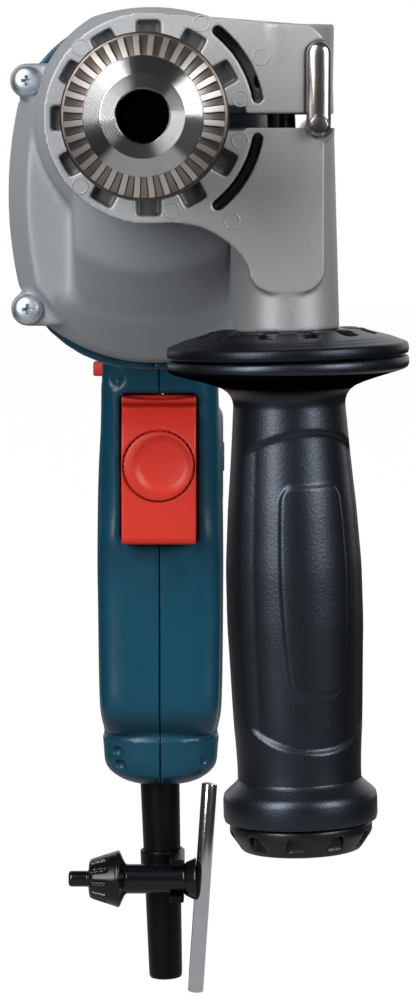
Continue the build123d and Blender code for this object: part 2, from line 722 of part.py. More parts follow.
def gear_housing_screws():
    seat = CASE_END - LUG_DEPTH
    dome = seat - CASE_HEAD_HEIGHT
    screw = turned(
        (0, dome),
        (CASE_HEAD_R * 0.55, dome),
        (CASE_HEAD_R * 0.88, dome + 0.35 * CASE_HEAD_HEIGHT),
        (CASE_HEAD_R, dome + 0.75 * CASE_HEAD_HEIGHT),
        (CASE_HEAD_R, seat),
        (CASE_SCREW_R, seat),
        (CASE_SCREW_R, seat + CASE_SCREW_LENGTH),
        (0, seat + CASE_SCREW_LENGTH),
    )
    screw -= Pos(0, dome, 0) * cross_recess(CASE_HEAD_R * 0.5, 0.6 * CASE_HEAD_HEIGHT)
    return Compound([Pos(x, 0, z) * screw for x, z in lug_places()])


# Motor


def armature_shaft():
    shaft = turned(
        (0, GEAR_END),
        (ARMATURE_FRONT_R, GEAR_END),
        (ARMATURE_FRONT_R, CASE_END + RUN),
        (ARMATURE_SHAFT_R, CASE_END + RUN),
        (ARMATURE_SHAFT_R, REAR_BEARING_START - RUN),
        (ARMATURE_REAR_R, REAR_BEARING_START - RUN),
        (ARMATURE_REAR_R, REAR_BEARING_END),
        (0, REAR_BEARING_END),
    )
    teeth = gear_section(PINION_TEETH, PROFILE_SHIFT, PINION_ADDENDUM, 90)
    pinion = slab(teeth, GEAR_START - 1.0, GEAR_END + 1.0)
    return on_motor(shaft + pinion)


def armature_core():
    core = ring(ARMATURE_SHAFT_R + SEAT, CORE_OUTER_R, CORE_START, CORE_END)
    slot = block(ARMATURE_SHAFT_R + 4.0, 2 * CORE_OUTER_R, CORE_START - 1, CORE_END + 1, -1.1, 1.1)
    return on_motor(core - round_spindle(slot, CORE_SLOTS))


def armature_windings():
    """Wire in the core's slots, and the end turns at both ends of the core."""
    slot = block(ARMATURE_SHAFT_R + 4.0 + SEAT, CORE_OUTER_R - 0.8, CORE_START - 1, CORE_END + 1, -1.0, 1.0)
    wound = ring(ARMATURE_SHAFT_R + 1.0, END_TURN_R, CORE_START - END_TURN_LENGTH, CORE_START - SEAT)
    wound += ring(ARMATURE_SHAFT_R + 1.0, END_TURN_R, CORE_END + SEAT, CORE_END + END_TURN_LENGTH)
    for wire in round_spindle(slot, CORE_SLOTS):
        wound += wire
    return on_motor(wound)


def commutator():
    drum = ring(ARMATURE_SHAFT_R + SEAT, COMMUTATOR_R, COMMUTATOR_START, COMMUTATOR_END)
    slit = block(COMMUTATOR_R - 1.2, COMMUTATOR_R + 1, COMMUTATOR_START - 1, COMMUTATOR_END + 1, -0.3, 0.3)
    riser = ring(ARMATURE_SHAFT_R + SEAT, COMMUTATOR_R + 1.6, COMMUTATOR_START - 3.0, COMMUTATOR_START)
    return on_motor(drum - round_spindle(slit, COMMUTATOR_BARS) + riser)


def cooling_fan():
    hub = ring(ARMATURE_SHAFT_R + SEAT, ARMATURE_SHAFT_R + 4.0, FAN_START, FAN_END)
    disc = ring(ARMATURE_SHAFT_R + SEAT, FAN_R, FAN_START, FAN_START + 2.0)
    blade = block(ARMATURE_SHAFT_R + 6.0, FAN_R - 0.5, FAN_START, FAN_END - 1.0, -0.9, 0.9)
    fan = hub + disc
    for wing in round_spindle(blade, FAN_BLADES):
        fan += wing
    return on_motor(fan)


def pole_window():
    """Room for one field coil: a ring sector beside the armature, below the +X side of the poles."""
    inner = CORE_OUTER_R + AIR_GAP
    half = 90 - POLE_HALF_ANGLE
    far = 2 * STATOR_R
    top = far * tan(radians(half))
    wedge = make_face(Polyline((0, 0), (far, top), (far, -top), close=True))
    sector = ring(inner - 1.0, inner + COIL_DEPTH, CORE_START - COIL_OVERHANG, CORE_END + COIL_OVERHANG)
    return sector & slab(wedge, CORE_START - COIL_OVERHANG, CORE_END + COIL_OVERHANG)


def field_stator():
    stack = ring(CORE_OUTER_R + AIR_GAP, STATOR_R, CORE_START, CORE_END)
    window = pole_window()
    return on_motor(stack - window - Rot(0, 180, 0) * window)


def field_coils():
    """Two saddle coils, one each side, in the stator's windows and clear of the armature."""
    inner = CORE_OUTER_R + AIR_GAP
    length = (CORE_START - COIL_OVERHANG, CORE_END + COIL_OVERHANG)
    coil = pole_window() - rod(inner + SEAT, length[0] - 1, length[1] + 1)
    bore = ring(0.5, inner + COIL_DEPTH - SEAT, length[0] - 1, length[1] + 1)
    coil = coil & bore
    return Compound([on_motor(coil), on_motor(Rot(0, 180, 0) * coil)])


BRUSH_INNER = COMMUTATOR_R + RUN
BRUSH_BOX_INNER = COMMUTATOR_R + 2.5
BRUSH_BOX_OUTER = BRUSH_INNER + BRUSH_LENGTH + 9.0


def brush_box(half_width, half_height, x0, x1):
    return block(x0, x1, BRUSH_Y - half_width, BRUSH_Y + half_width, -half_height, half_height)


def both_sides(solid):
    """A piece on the motor axis and its twin on the other side."""
    return Compound([on_motor(solid), on_motor(Rot(0, 180, 0) * solid)])


def brush_holders():
    half_width = BRUSH_WIDTH / 2 + SEAT
    half_height = BRUSH_THICKNESS / 2 + SEAT
    outside = (half_width + BRUSH_BOX_WALL, half_height + BRUSH_BOX_WALL)
    box = brush_box(*outside, BRUSH_BOX_INNER, BRUSH_BOX_OUTER)
    end = BRUSH_BOX_OUTER - BRUSH_BOX_WALL
    return both_sides(box - brush_box(half_width, half_height, BRUSH_BOX_INNER - 1, end))


def carbon_brushes():
    brush = brush_box(BRUSH_WIDTH / 2, BRUSH_THICKNESS / 2, COMMUTATOR_R - 1, BRUSH_INNER + BRUSH_LENGTH)
    return both_sides(brush - rod(BRUSH_INNER, COMMUTATOR_START, COMMUTATOR_END))


def brush_springs():
    start = BRUSH_INNER + BRUSH_LENGTH + SEAT
    end = BRUSH_BOX_OUTER - BRUSH_BOX_WALL - SEAT
    coil = ring(BRUSH_SPRING_R - BRUSH_SPRING_WALL, BRUSH_SPRING_R, start, end)
    return both_sides(Pos(0, BRUSH_Y, 0) * Rot(0, 0, -90) * coil)


# Motor housing and grip


def body_section(y, width, height, middle_z, corner, inset):
    outline = RectangleRounded(width - 2 * inset, height - 2 * inset, corner - inset)
    return front_plane(y) * Pos(0, middle_z) * outline


def motor_body(inset):
    """Barrel round the motor: straight at the gear housing, then drawn in, with a rounded rear end."""
    start = CASE_END + BODY_STRAIGHT
    dome = REAR - BODY_DOME
    sections = [body_section(CASE_END, BODY_WIDTH, BODY_HEIGHT, BODY_Z, BODY_CORNER, inset)]
    steps = 4
    for k in range(steps + 1):
        along = k / steps
        eased = along * along * (3 - 2 * along)
        width = BODY_WIDTH + (REAR_WIDTH - BODY_WIDTH) * eased
        height = BODY_HEIGHT + (REAR_HEIGHT - BODY_HEIGHT) * eased
        corner = BODY_CORNER + (REAR_CORNER - BODY_CORNER) * eased
        y = start + (dome - start) * along
        middle = BODY_Z + (REAR_RAISE - BODY_RAISE) * eased
        sections.append(body_section(y, width, height, middle, corner, inset))
    for k in range(1, steps + 1):
        angle = radians(80 * k / steps)
        drawn_in = inset + BODY_DOME * (1 - cos(angle))
        y = dome + (BODY_DOME - inset) * sin(angle) / sin(radians(80))
        middle = MOTOR_Z + REAR_RAISE
        sections.append(body_section(y, REAR_WIDTH, REAR_HEIGHT, middle, REAR_CORNER, drawn_in))
    return loft(sections, ruled=True)


def grip_section(z, front_in, back_in, narrower, roundness, inset):
    """Section across the grip: its front and back set in from the grip's depth, its sides drawn in."""
    y0 = GRIP_FRONT_Y + front_in + inset
    y1 = GRIP_FRONT_Y + GRIP_DEPTH - back_in - inset
    half = GRIP_HALF_WIDTH - narrower - inset
    corner = min(half * roundness, (y1 - y0) * 0.42)
    return Pos(0, (y0 + y1) / 2, z) * RectangleRounded(2 * half, y1 - y0, corner)


def pistol_grip(inset):
    """Grip from inside the motor housing down to its rounded end."""
    top = BODY_Z - BODY_HEIGHT / 2 + 16.0
    reach = top - GRIP_END_Z
    end = GRIP_END_Z + inset
    sections = [
        grip_section(top, -3.0, -8.0, 1.2, 0.4, inset),
        grip_section(top - 0.18 * reach, -2.0, -5.0, 1.4, 0.4, inset),
        grip_section(top - 0.35 * reach, 0.5, -1.0, 0.3, 0.55, inset),
        grip_section(top - 0.52 * reach, 0.0, 0.5, 0.0, 0.75, inset),
        grip_section(top - 0.72 * reach, 4.5, -1.0, 0.2, 0.9, inset),
        grip_section(top - 0.82 * reach, 7.0, -2.4, 0.7, 0.9, inset),
        grip_section(top - 0.89 * reach, 9.0, -3.0, 2.0, 0.9, inset),
        grip_section(end + 6.5, 10.5, -2.0, 3.0, 0.9, inset),
        grip_section(end + 1.8, 14.0, 1.5, 7.0, 0.9, inset),
        grip_section(end, 19.0, 6.5, 11.5, 0.9, inset),
    ]
    return loft(sections, ruled=True)


def housing_screw_places():
    """Joining screws in y and z: round the motor, in the neck and in the grip."""
    back = GRIP_FRONT_Y + GRIP_DEPTH
    return [
        (CASE_END + FRONT_SCREW, BODY_Z + BODY_HEIGHT / 2 - 13.0),
        (REAR - BODY_DOME - 4.0, MOTOR_Z + REAR_RAISE + REAR_HEIGHT / 2 - 12.0),
        (CASE_END + FRONT_SCREW + 6.0, BODY_Z - BODY_HEIGHT / 2 + 13.0),
        (back - 10.0, TRIGGER_BOTTOM - 8.0),
        (back - 12.0, GRIP_END_Z + 22.0),
    ]


def along_x(solid, y, z):
    """Puts a solid turned about the spindle axis at y and z, pointing along +X."""
    return Pos(0, y, z) * Rot(0, 0, -90) * solid


def housing_ribs():
    """Cross walls inside the housing that hold the gear plate, stator, brushes, rear bearing and switch."""
    wide = BODY_WIDTH
    high = MOTOR_Z + BODY_HEIGHT
    floor = BODY_Z - BODY_HEIGHT / 2 + WALL
    walls = block(-wide, wide, CASE_END, CASE_END + RIB, floor, high)
    walls -= on_motor(rod(GEAR_PLATE_WIDTH / 2 - 6.0, CASE_END - 1, CASE_END + RIB + 1))
    for y in (CORE_START + 4.0, CORE_END - 4.0 - RIB):
        seat = on_motor(rod(STATOR_R + SEAT, y - 1, y + RIB + 1))
        walls += block(-wide, wide, y, y + RIB, floor, high) - seat
    cup = block(-wide, wide, REAR_BEARING_START, REAR_BEARING_END, floor, high)
    walls += cup - on_motor(rod(REAR_MOTOR_BEARING_R + SEAT, REAR_BEARING_START - 1, REAR_BEARING_END + 1))
    box_half = BRUSH_WIDTH / 2 + SEAT + BRUSH_BOX_WALL
    post = block(BRUSH_BOX_OUTER - 6.0, wide, BRUSH_Y - box_half - RIB, BRUSH_Y + box_half + RIB, -8.0, 8.0)
    post -= brush_box(box_half + SEAT, BRUSH_THICKNESS / 2 + BRUSH_BOX_WALL + 2 * SEAT, 0, BRUSH_BOX_OUTER)
    walls += [on_motor(post), on_motor(Rot(0, 180, 0) * post)]
    for z in (SWITCH_TOP, SWITCH_LOW - RIB):
        walls += block(-wide, wide, SWITCH_FRONT, REAR, z, z + RIB)
    return walls


def vents():
    """Slots through both sides of the barrel: air in at the rear, air out beside the fan."""
    slots = []
    for k in range(VENT_COUNT):
        rear_y = COMMUTATOR_END - k * VENT_PITCH
        low = MOTOR_Z + REAR_RAISE + 10.0
        for side in (-1, 1):
            x0, x1 = sorted((side * BODY_WIDTH / 4, side * BODY_WIDTH))
            slots.append(block(x0, x1, rear_y, rear_y + VENT_WIDTH, low, low + VENT_HEIGHT / 2))
    for k in range(2):
        fan_y = FAN_START + 3.0 + k * VENT_PITCH
        slots.append(block(-BODY_WIDTH, BODY_WIDTH, fan_y, fan_y + VENT_WIDTH,
                           MOTOR_Z - VENT_HEIGHT / 2, MOTOR_Z + VENT_HEIGHT / 2))
    return slots


def housing_screw_seat(z):
    """How far from the seam a joining screw's head lies."""
    return GRIP_HALF_WIDTH - 8.0 if z < TRIGGER_TOP else BODY_WIDTH / 2 - 20.0


def on_boot(solid):
    """Puts a solid that was drawn about the Z axis on the leaning axis of the strain relief boot."""
    return Pos(BOOT_X, BOOT_Y, GRIP_END_Z) * Rot(0, -BOOT_LEAN, 0) * solid


def lock_boss():
    """Oval boss on the grip's right side, round the lock button."""
    oval = Plane.YZ * Pos(LOCK_Y, LOCK_Z) * SlotOverall(LOCK_BOSS_HEIGHT, LOCK_BOSS_WIDTH, rotation=90)
    return Pos(LOCK_SEAT_X - 1.0, 0, 0) * extrude(oval, LOCK_FACE_X - LOCK_SEAT_X + 1.0)


def housing_openings():
    """What is cut from the housing: trigger, lever, lock button, boot and joining screws."""
    half = TRIGGER_HALF_WIDTH + CLEAR
    low = TRIGGER_BOTTOM - CLEAR
    high = TRIGGER_TOP + CLEAR
    cuts = [block(-half, half, TRIGGER_FRONT - TRIGGER_DEPTH, SWITCH_FRONT, low, high)]
    lever_y = LEVER_DEPTH / 2 + RUN
    lever_z = LEVER_HEIGHT / 2 + RUN
    reach = BODY_WIDTH
    lever_slot = Box(2 * reach, 2 * lever_y, 2 * lever_z)
    cuts.append(Pos(0, LEVER_Y, LEVER_Z) * lever_slot)
    cuts.append(along_x(rod(LOCK_BUTTON_R + RUN, 0, reach), LOCK_Y, LOCK_Z))
    cuts.append(along_x(rod(LOCK_FLANGE_R + CLEAR, 0, LOCK_SEAT_X), LOCK_Y, LOCK_Z))
    cuts.append(on_boot(Cylinder(BOOT_TOP_R + SEAT, 4 * GRIP_FLOOR)))
    flange_room = Cylinder(BOOT_FLANGE_R + SEAT, 2 * BOOT_FLANGE)
    cuts.append(on_boot(Pos(0, 0, GRIP_FLOOR + BOOT_FLANGE) * flange_room))
    screw_end = CASE_END - LUG_DEPTH + CASE_SCREW_LENGTH
    for x, z in lug_places():
        cuts.append(rod(CASE_SCREW_R + SEAT, CASE_END - 1, screw_end + 0.5, x, z))
    for y, z in housing_screw_places():
        seat = housing_screw_seat(z)
        cuts.append(along_x(rod(HOUSING_SCREW_R + SEAT, -HOUSING_SCREW_BITE - 0.5, reach), y, z))
        cuts.append(along_x(rod(HOUSING_SCREW_HEAD_R + SEAT, seat, reach), y, z))
    return cuts


def housing_shell():
    """Both halves in one piece: barrel and grip walls, ribs, screw bosses and openings."""
    outer = motor_body(0) + pistol_grip(0)
    cavity = motor_body(WALL) + pistol_grip(GRIP_WALL)
    cavity += slab(Pos(0, MOTOR_Z) * Circle(GEAR_PLATE_WIDTH / 2 - 6.0), CASE_END - 1, CASE_END + 2 * WALL)
    cavity -= block(-BODY_WIDTH, BODY_WIDTH, GRIP_FRONT_Y, REAR, GRIP_END_Z, GRIP_END_Z + GRIP_FLOOR)
    bosses = [along_x(rod(BOSS_R, -BODY_WIDTH, BODY_WIDTH), y, z) for y, z in housing_screw_places()]
    lug_end = CASE_END - LUG_DEPTH + CASE_SCREW_LENGTH + 2.0
    lugs = [rod(LUG_R, CASE_END, lug_end, x, z) for x, z in lug_places()]
    cavity = cavity - bosses - lugs - housing_ribs()
    return outer + lock_boss() + lugs - cavity - housing_openings() - vents()


def housing_half(shell, side):
    """The part of the shell on one side of the seam: -1 for the left half, 1 for the right."""
    x0, x1 = sorted((0, side * 2 * BODY_WIDTH))
    return shell & block(x0, x1, 0, 2 * REAR, 2 * GRIP_END_Z, REAR)


def housing_screws():
    screws = []
    for y, z in housing_screw_places():
        seat = housing_screw_seat(z)
        shank = rod(HOUSING_SCREW_R, -HOUSING_SCREW_BITE, seat)
        head = rod(HOUSING_SCREW_HEAD_R, seat, seat + HOUSING_SCREW_HEAD)
        recess = Pos(0, seat + HOUSING_SCREW_HEAD, 0) * Rot(180, 0, 0) * cross_recess(2.0, 1.6)
        screws.append(along_x(shank + head - recess, y, z))
    return Compound(screws)


# Switch, trigger and buttons


def switch_body():
    body = block(-SWITCH_HALF_WIDTH, SWITCH_HALF_WIDTH, SWITCH_FRONT + SEAT, SWITCH_FRONT + SWITCH_DEPTH,
                 SWITCH_LOW + SEAT, SWITCH_TOP - SEAT)
    body = fillet(body.edges().filter_by(Axis.X), 1.5)
    return body - rod(STEM_R + RUN, SWITCH_FRONT - 1, STEM_END + TRIGGER_TRAVEL + 1.0, 0, TRIGGER_MID)


def trigger():
    """Trigger with a scooped top, a pocket for the dial, a spring pocket and the switch stem."""
    half = TRIGGER_HALF_WIDTH
    front = RectangleRounded(2 * half, TRIGGER_HEIGHT, TRIGGER_CORNER)
    body = slab(Pos(0, TRIGGER_MID) * front, TRIGGER_FRONT, TRIGGER_BACK)
    scoop_r = 1.6 * TRIGGER_DEPTH
    scoop_y = TRIGGER_FRONT - scoop_r + 3.5
    body -= along_x(Cylinder(scoop_r, 4 * half, rotation=(90, 0, 0)), scoop_y, TRIGGER_TOP - 4.0)
    body -= rod(DIAL_R + CLEAR, TRIGGER_FRONT - 1, DIAL_SEAT, 0, DIAL_Z)
    body -= rod(DIAL_PIN_R + RUN, TRIGGER_FRONT, DIAL_SEAT + DIAL_PIN_LENGTH + 0.5, 0, DIAL_Z)
    body -= rod(SPRING_R + CLEAR, SPRING_START, TRIGGER_BACK + 1, 0, TRIGGER_MID)
    return body + rod(STEM_R, SPRING_START - 1.0, STEM_END, 0, TRIGGER_MID)


def trigger_spring():
    return Pos(0, 0, TRIGGER_MID) * ring(SPRING_R - SPRING_WALL, SPRING_R, SPRING_START, SWITCH_FRONT)


def speed_dial():
    """Dial with a serrated edge, a finger groove in its face and a pin that turns in the trigger."""
    start = TRIGGER_FRONT - DIAL_PROUD
    end = DIAL_SEAT - RUN
    disc = turned((0, start), (DIAL_R - 0.8, start), (DIAL_R, start + 0.8), (DIAL_R, end), (0, end))
    notch = rod(0.45, start - 1, end + 1, DIAL_R, 0)
    disc -= round_spindle(notch, DIAL_SERRATIONS)
    groove = SlotArc(CenterArc((0, 0), DIAL_R * 0.55, 200, 140), 1.2)
    disc -= slab(groove, start - 1, start + 0.4)
    return Pos(0, 0, DIAL_Z) * (disc + rod(DIAL_PIN_R, start + 1.0, DIAL_SEAT + DIAL_PIN_LENGTH))


def reverse_lever():
    end = GRIP_HALF_WIDTH - 2.0 + LEVER_PROUD
    y = LEVER_DEPTH / 2
    z = LEVER_HEIGHT / 2
    bar = block(-end, end - LEVER_TRAVEL, LEVER_Y - y, LEVER_Y + y, LEVER_Z - z, LEVER_Z + z)
    return chamfer(bar.faces().sort_by(Axis.X)[0].edges(), 0.6)


def lock_button():
    face = LOCK_FACE_X + LOCK_BUTTON_PROUD
    flange = LOCK_SEAT_X - RUN
    button = turned(
        (0, flange - LOCK_FLANGE),
        (LOCK_FLANGE_R, flange - LOCK_FLANGE),
        (LOCK_FLANGE_R, flange),
        (LOCK_BUTTON_R, flange),
        (LOCK_BUTTON_R, face - 0.6),
        (LOCK_BUTTON_R - 0.6, face),
        (0, face),
    )
    return along_x(button, LOCK_Y, LOCK_Z)


# Strain relief boot and chuck key


def strain_relief():
    boot = turned_z(
        (BOOT_BORE_R, GRIP_FLOOR + BOOT_FLANGE),
        (BOOT_BORE_R, -BOOT_LENGTH),
        (BOOT_END_R - 0.8, -BOOT_LENGTH),
        (BOOT_END_R, -BOOT_LENGTH + 0.8),
        (BOOT_TOP_R, 0),
        (BOOT_TOP_R, GRIP_FLOOR + SEAT),
        (BOOT_FLANGE_R, GRIP_FLOOR + SEAT),
        (BOOT_FLANGE_R, GRIP_FLOOR + BOOT_FLANGE),
    )
    return on_boot(boot)


def boot_r(drop):
    """Radius of the boot at a drop below the grip's end."""
    return BOOT_TOP_R + (BOOT_END_R - BOOT_TOP_R) * drop / (BOOT_LENGTH - 0.8)


def key_holder():
    """Collar pushed over the boot, with a clip open to the front that holds the key's shaft."""
    half = KEY_SHAFT_R + RUN + HOLDER_WALL
    top = KEY_DROP - half
    low = KEY_DROP + half
    collar = on_boot(turned_z(
        (0, -low),
        (boot_r(low) + COLLAR_WALL, -low),
        (boot_r(top) + COLLAR_WALL, -top),
        (0, -top),
    ))
    x0 = KEY_HEAD_X - HOLDER_WIDTH - CLEAR
    x1 = KEY_HEAD_X - CLEAR
    clip = block(x0, x1, KEY_Y - KEY_SHAFT_R, BOOT_Y, KEY_Z - half, KEY_Z + half)
    room = along_x(rod(KEY_SHAFT_R + RUN, 0, 2 * KEY_HEAD_X), KEY_Y, KEY_Z)
    opening = KEY_SHAFT_R + RUN
    room += block(0, 2 * KEY_HEAD_X, KEY_Y - 4 * KEY_SHAFT_R, KEY_Y, KEY_Z - opening, KEY_Z + opening)
    boot_room = turned_z(
        (0, -low - 2),
        (boot_r(low + 2) + SEAT, -low - 2),
        (boot_r(top - 2) + SEAT, -top + 2),
        (0, -top + 2),
    )
    return collar + clip - room - on_boot(boot_room)


def key_bar_place(solid):
    """Puts a bar drawn along Z against the end of the key's head, leaning in the picture plane."""
    axis_x = KEY_HEAD_X + KEY_HEAD_LENGTH + BAR_R - BAR_GROOVE
    return Pos(axis_x, KEY_Y, KEY_Z) * Rot(0, BAR_TILT, 0) * Pos(0, 0, -BAR_LOWER) * solid


def chuck_key_body():
    gear_start = KEY_START_X + KEY_PILOT_LENGTH
    gear_end = gear_start + KEY_GEAR_LENGTH
    widest = gear_start + 0.8 * KEY_GEAR_LENGTH
    key = turned(
        (0, KEY_START_X),
        (KEY_PILOT_R - 0.6, KEY_START_X),
        (KEY_PILOT_R, KEY_START_X + 0.8),
        (KEY_PILOT_R, gear_start),
        (KEY_GEAR_NOSE_R, gear_start),
        (KEY_GEAR_R, widest),
        (KEY_SHAFT_R, gear_end),
        (KEY_SHAFT_R, KEY_HEAD_X),
        (KEY_SHAFT_R + 0.5, KEY_HEAD_X),
        (KEY_HEAD_R, KEY_HEAD_X + KEY_HEAD_LENGTH),
        (0, KEY_HEAD_X + KEY_HEAD_LENGTH),
    )
    gap_w = pi * KEY_GEAR_R / KEY_TEETH / 2
    gap = block(KEY_GEAR_NOSE_R - 1.0, KEY_GEAR_R + 3.0, gear_start - 1, gear_start + 4.5, -gap_w, gap_w)
    key -= round_spindle(gap, KEY_TEETH)
    return along_x(key, KEY_Y, KEY_Z) - key_bar_place(Cylinder(BAR_R + SEAT, BAR_LENGTH))


def key_cross_bar():
    bar = Cylinder(BAR_R, BAR_LENGTH)
    return key_bar_place(chamfer(bar.edges().filter_by(GeomType.CIRCLE), 0.4))


# Side handle


def clamp_plate_outline():
    """Front plate of the clamp in x and z: from the top of the ring to the right, down to the tongue."""
    right = PLATE_RIGHT
    top_right = PLATE_TOP - 3.0
    corner = TONGUE_CORNER
    bottom = TONGUE_BOTTOM
    left = TONGUE_LEFT
    outline = [
        Line((4.0, PLATE_TOP), (right - corner, top_right)),
        ThreePointArc((right - corner, top_right), (right - 2, top_right - 2), (right, top_right - corner)),
        Line((right, top_right - corner), (right, bottom + corner)),
        ThreePointArc((right, bottom + corner), (right - 2.0, bottom + 2.0), (right - corner, bottom)),
        Line((right - corner, bottom), (left + corner, bottom)),
        ThreePointArc((left + corner, bottom), (left + 2.0, bottom + 2.0), (left, bottom + corner)),
        ThreePointArc((left, bottom + corner), (left - 8.2, bottom + 15.7), (5.0, -PLATE_TOP)),
        Line((5.0, -PLATE_TOP), (4.0, PLATE_TOP)),
    ]
    return make_face(outline)


def depth_leg(grow):
    """Upright end of the depth stop: a flat bar with a round top, in front of the clamp."""
    width = DEPTH_LEG_WIDTH + 2 * grow
    length = DEPTH_LEG_TOP - DEPTH_ROD_Z + DEPTH_LEG_WIDTH / 2 + 2 * grow
    middle = (DEPTH_LEG_TOP + DEPTH_ROD_Z - DEPTH_LEG_WIDTH / 2) / 2
    return Pos(DEPTH_ROD_X, middle) * SlotOverall(length, width, rotation=90)


def side_handle_clamp():
    """Cast clamp round the neck, slit at the right, with a column for the handle."""
    end = CLAMP_FRONT + CLAMP_DEPTH
    column = turned_z(
        (0, COLUMN_END),
        (COLUMN_R, COLUMN_END),
        (COLUMN_R, BOLT_HEAD_SEAT),
        (COLUMN_R + COLUMN_DRAFT, COLUMN_TOP),
        (0, COLUMN_TOP),
    )
    clamp = rod(CLAMP_RING_R, CLAMP_FRONT, end) + on_handle(column)
    clamp += slab(clamp_plate_outline(), CLAMP_FRONT, CLAMP_FRONT + PLATE_THICKNESS)
    clamp += block(CLAMP_RING_R / 3, HANDLE_X + 5.0, CLAMP_FRONT + 1.0, end, EAR_LOW, EAR_TOP)
    clamp += rod(DEPTH_ROD_R + DEPTH_ROD_WALL, CLAMP_FRONT, end, DEPTH_ROD_X, DEPTH_ROD_Z)
    clamp -= rod(NECK_R + RUN, CLAMP_FRONT - 1, end + 1)
    notch = block(0, NOTCH_R, CLAMP_FRONT - 1, CLAMP_FRONT + NOTCH_DEPTH, -NOTCH_WIDTH / 2, NOTCH_WIDTH / 2)
    clamp -= round_spindle(notch, CLAMP_NOTCHES)
    clamp -= block(0, 3 * CLAMP_RING_R, CLAMP_FRONT - 1, 2 * end, SLIT_BOTTOM, SLIT_TOP)
    for start in (ARC_SLOT_START, -ARC_SLOT_START - ARC_SLOT_SPAN):
        arc = SlotArc(CenterArc((0, 0), ARC_SLOT_R, start, ARC_SLOT_SPAN), ARC_SLOT_WIDTH)
        clamp -= slab(arc, CLAMP_FRONT - 1, CLAMP_FRONT + ARC_SLOT_DEPTH)
    clamp -= on_handle(Cylinder(BOLT_R + 4 * RUN, 4 * COLUMN_TOP - 2 * COLUMN_END))
    across = BOLT_HEAD_ACROSS + 2 * RUN
    pocket = extrude(RegularPolygon(across / 2, 6, major_radius=False), COLUMN_TOP - BOLT_HEAD_SEAT + 1)
    clamp -= on_handle(Pos(0, 0, BOLT_HEAD_SEAT) * pocket)
    clamp -= rod(DEPTH_ROD_R + RUN, CLAMP_FRONT - 1, HANDLE_Y + 2 * COLUMN_R, DEPTH_ROD_X, DEPTH_ROD_Z)
    return clamp - slab(depth_leg(CLEAR), CLAMP_FRONT - 1, CLAMP_FRONT + DEPTH_LEG_SUNK)


def clamp_bolt():
    """Hexagon bolt held in the clamp's top, screwed into the grip's nut."""
    end = BOLT_HEAD_SEAT - BOLT_LENGTH
    shank = turned_z((0, end), (BOLT_R, end), (BOLT_R, BOLT_HEAD_SEAT + 1), (0, BOLT_HEAD_SEAT + 1))
    head = extrude(RegularPolygon(BOLT_HEAD_ACROSS / 2, 6, major_radius=False), BOLT_HEAD_HEIGHT)
    return on_handle(shank + Pos(0, 0, BOLT_HEAD_SEAT + SEAT) * head)


def flange_disc():
    """Upper disc of the handle: a raised platform with notches round its foot, and a bevelled rim."""
    top = COLUMN_END - SEAT
    bevel = DISC_THICKNESS - DISC_RIM
    disc = turned_z(
        (BOLT_R + 4 * RUN, DISC_END),
        (DISC_R - 1.0, DISC_END),
        (DISC_R, DISC_END + 1.0),
        (DISC_R, DISC_END + DISC_RIM - 1.0),
        (DISC_R - 1.0, DISC_END + DISC_RIM),
        (DISC_PLATFORM_R + 1.5, top - 0.35 * bevel),
        (DISC_PLATFORM_R, top),
        (BOLT_R + 4 * RUN, top),
    )
    inner = COLUMN_R + 1.5
    notch = Box(DISC_PLATFORM_R - inner - 5.0, DISC_NOTCH_WIDTH, 2.4)
    notch = Pos((inner + DISC_PLATFORM_R) / 2, 0, top) * notch
    for k in range(DISC_NOTCHES):
        disc -= Rot(0, 0, 360 * (k + 0.5) / DISC_NOTCHES) * notch
    return on_handle(disc)


def side_grip():
    """Moulded grip with a lower flange, a belly for the palm and a thicker ring at its end."""
    length = SIDE_GRIP_LENGTH
    bottom = SIDE_GRIP_END
    flange = GRIP_TOP - GRIP_FLANGE_RIM
    grip = turned_z(
        (0, GRIP_TOP),
        (DISC_R - 1.0, GRIP_TOP),
        (DISC_R, GRIP_TOP - 1.0),
        (DISC_R, flange + 1.0),
        (DISC_R - 1.2, flange),
        (GRIP_BELLY_R, flange - 0.04 * length),
        (GRIP_NECK_R, flange - 0.08 * length),
        (GRIP_NECK_R + 1.6, GRIP_TOP - 0.25 * length),
        (GRIP_BELLY_R - 0.6, GRIP_TOP - 0.375 * length),
        (GRIP_BELLY_R, GRIP_TOP - 0.5 * length),
        (GRIP_BELLY_R, GRIP_TOP - 0.57 * length),
        (GRIP_BELLY_R - 0.9, GRIP_TOP - 0.765 * length),
        (GRIP_WAIST_R, GRIP_TOP - 0.875 * length),
        (GRIP_WAIST_R, GRIP_TOP - 0.91 * length),
        (GRIP_END_R, GRIP_TOP - 0.94 * length),
        (GRIP_END_R, bottom + 1.0),
        (GRIP_END_R - 1.0, bottom),
        (0, bottom),
    )
    hollow = turned_z(
        (0, GRIP_TOP + 1),
        (BOLT_R + 4 * RUN, GRIP_TOP + 1),
        (BOLT_R + 4 * RUN, GRIP_NUT_TOP - GRIP_NUT_LENGTH),
        (GRIP_HOLLOW_R, GRIP_NUT_TOP - GRIP_NUT_LENGTH - 2.0),
        (GRIP_HOLLOW_R, bottom - 1),
        (0, bottom - 1),
    )
    seat = extrude(RegularPolygon(GRIP_NUT_ACROSS / 2 + SEAT, 6, major_radius=False), -GRIP_NUT_LENGTH - 3.0)
    return on_handle(grip - hollow - Pos(0, 0, GRIP_NUT_TOP) * seat)


def grip_nut():
    nut = extrude(RegularPolygon(GRIP_NUT_ACROSS / 2, 6, major_radius=False), -GRIP_NUT_LENGTH + SEAT)
    nut = Pos(0, 0, GRIP_NUT_TOP - SEAT) * nut
    return on_handle(nut - Pos(0, 0, GRIP_NUT_TOP) * Cylinder(BOLT_R + RUN, 4 * GRIP_NUT_LENGTH))


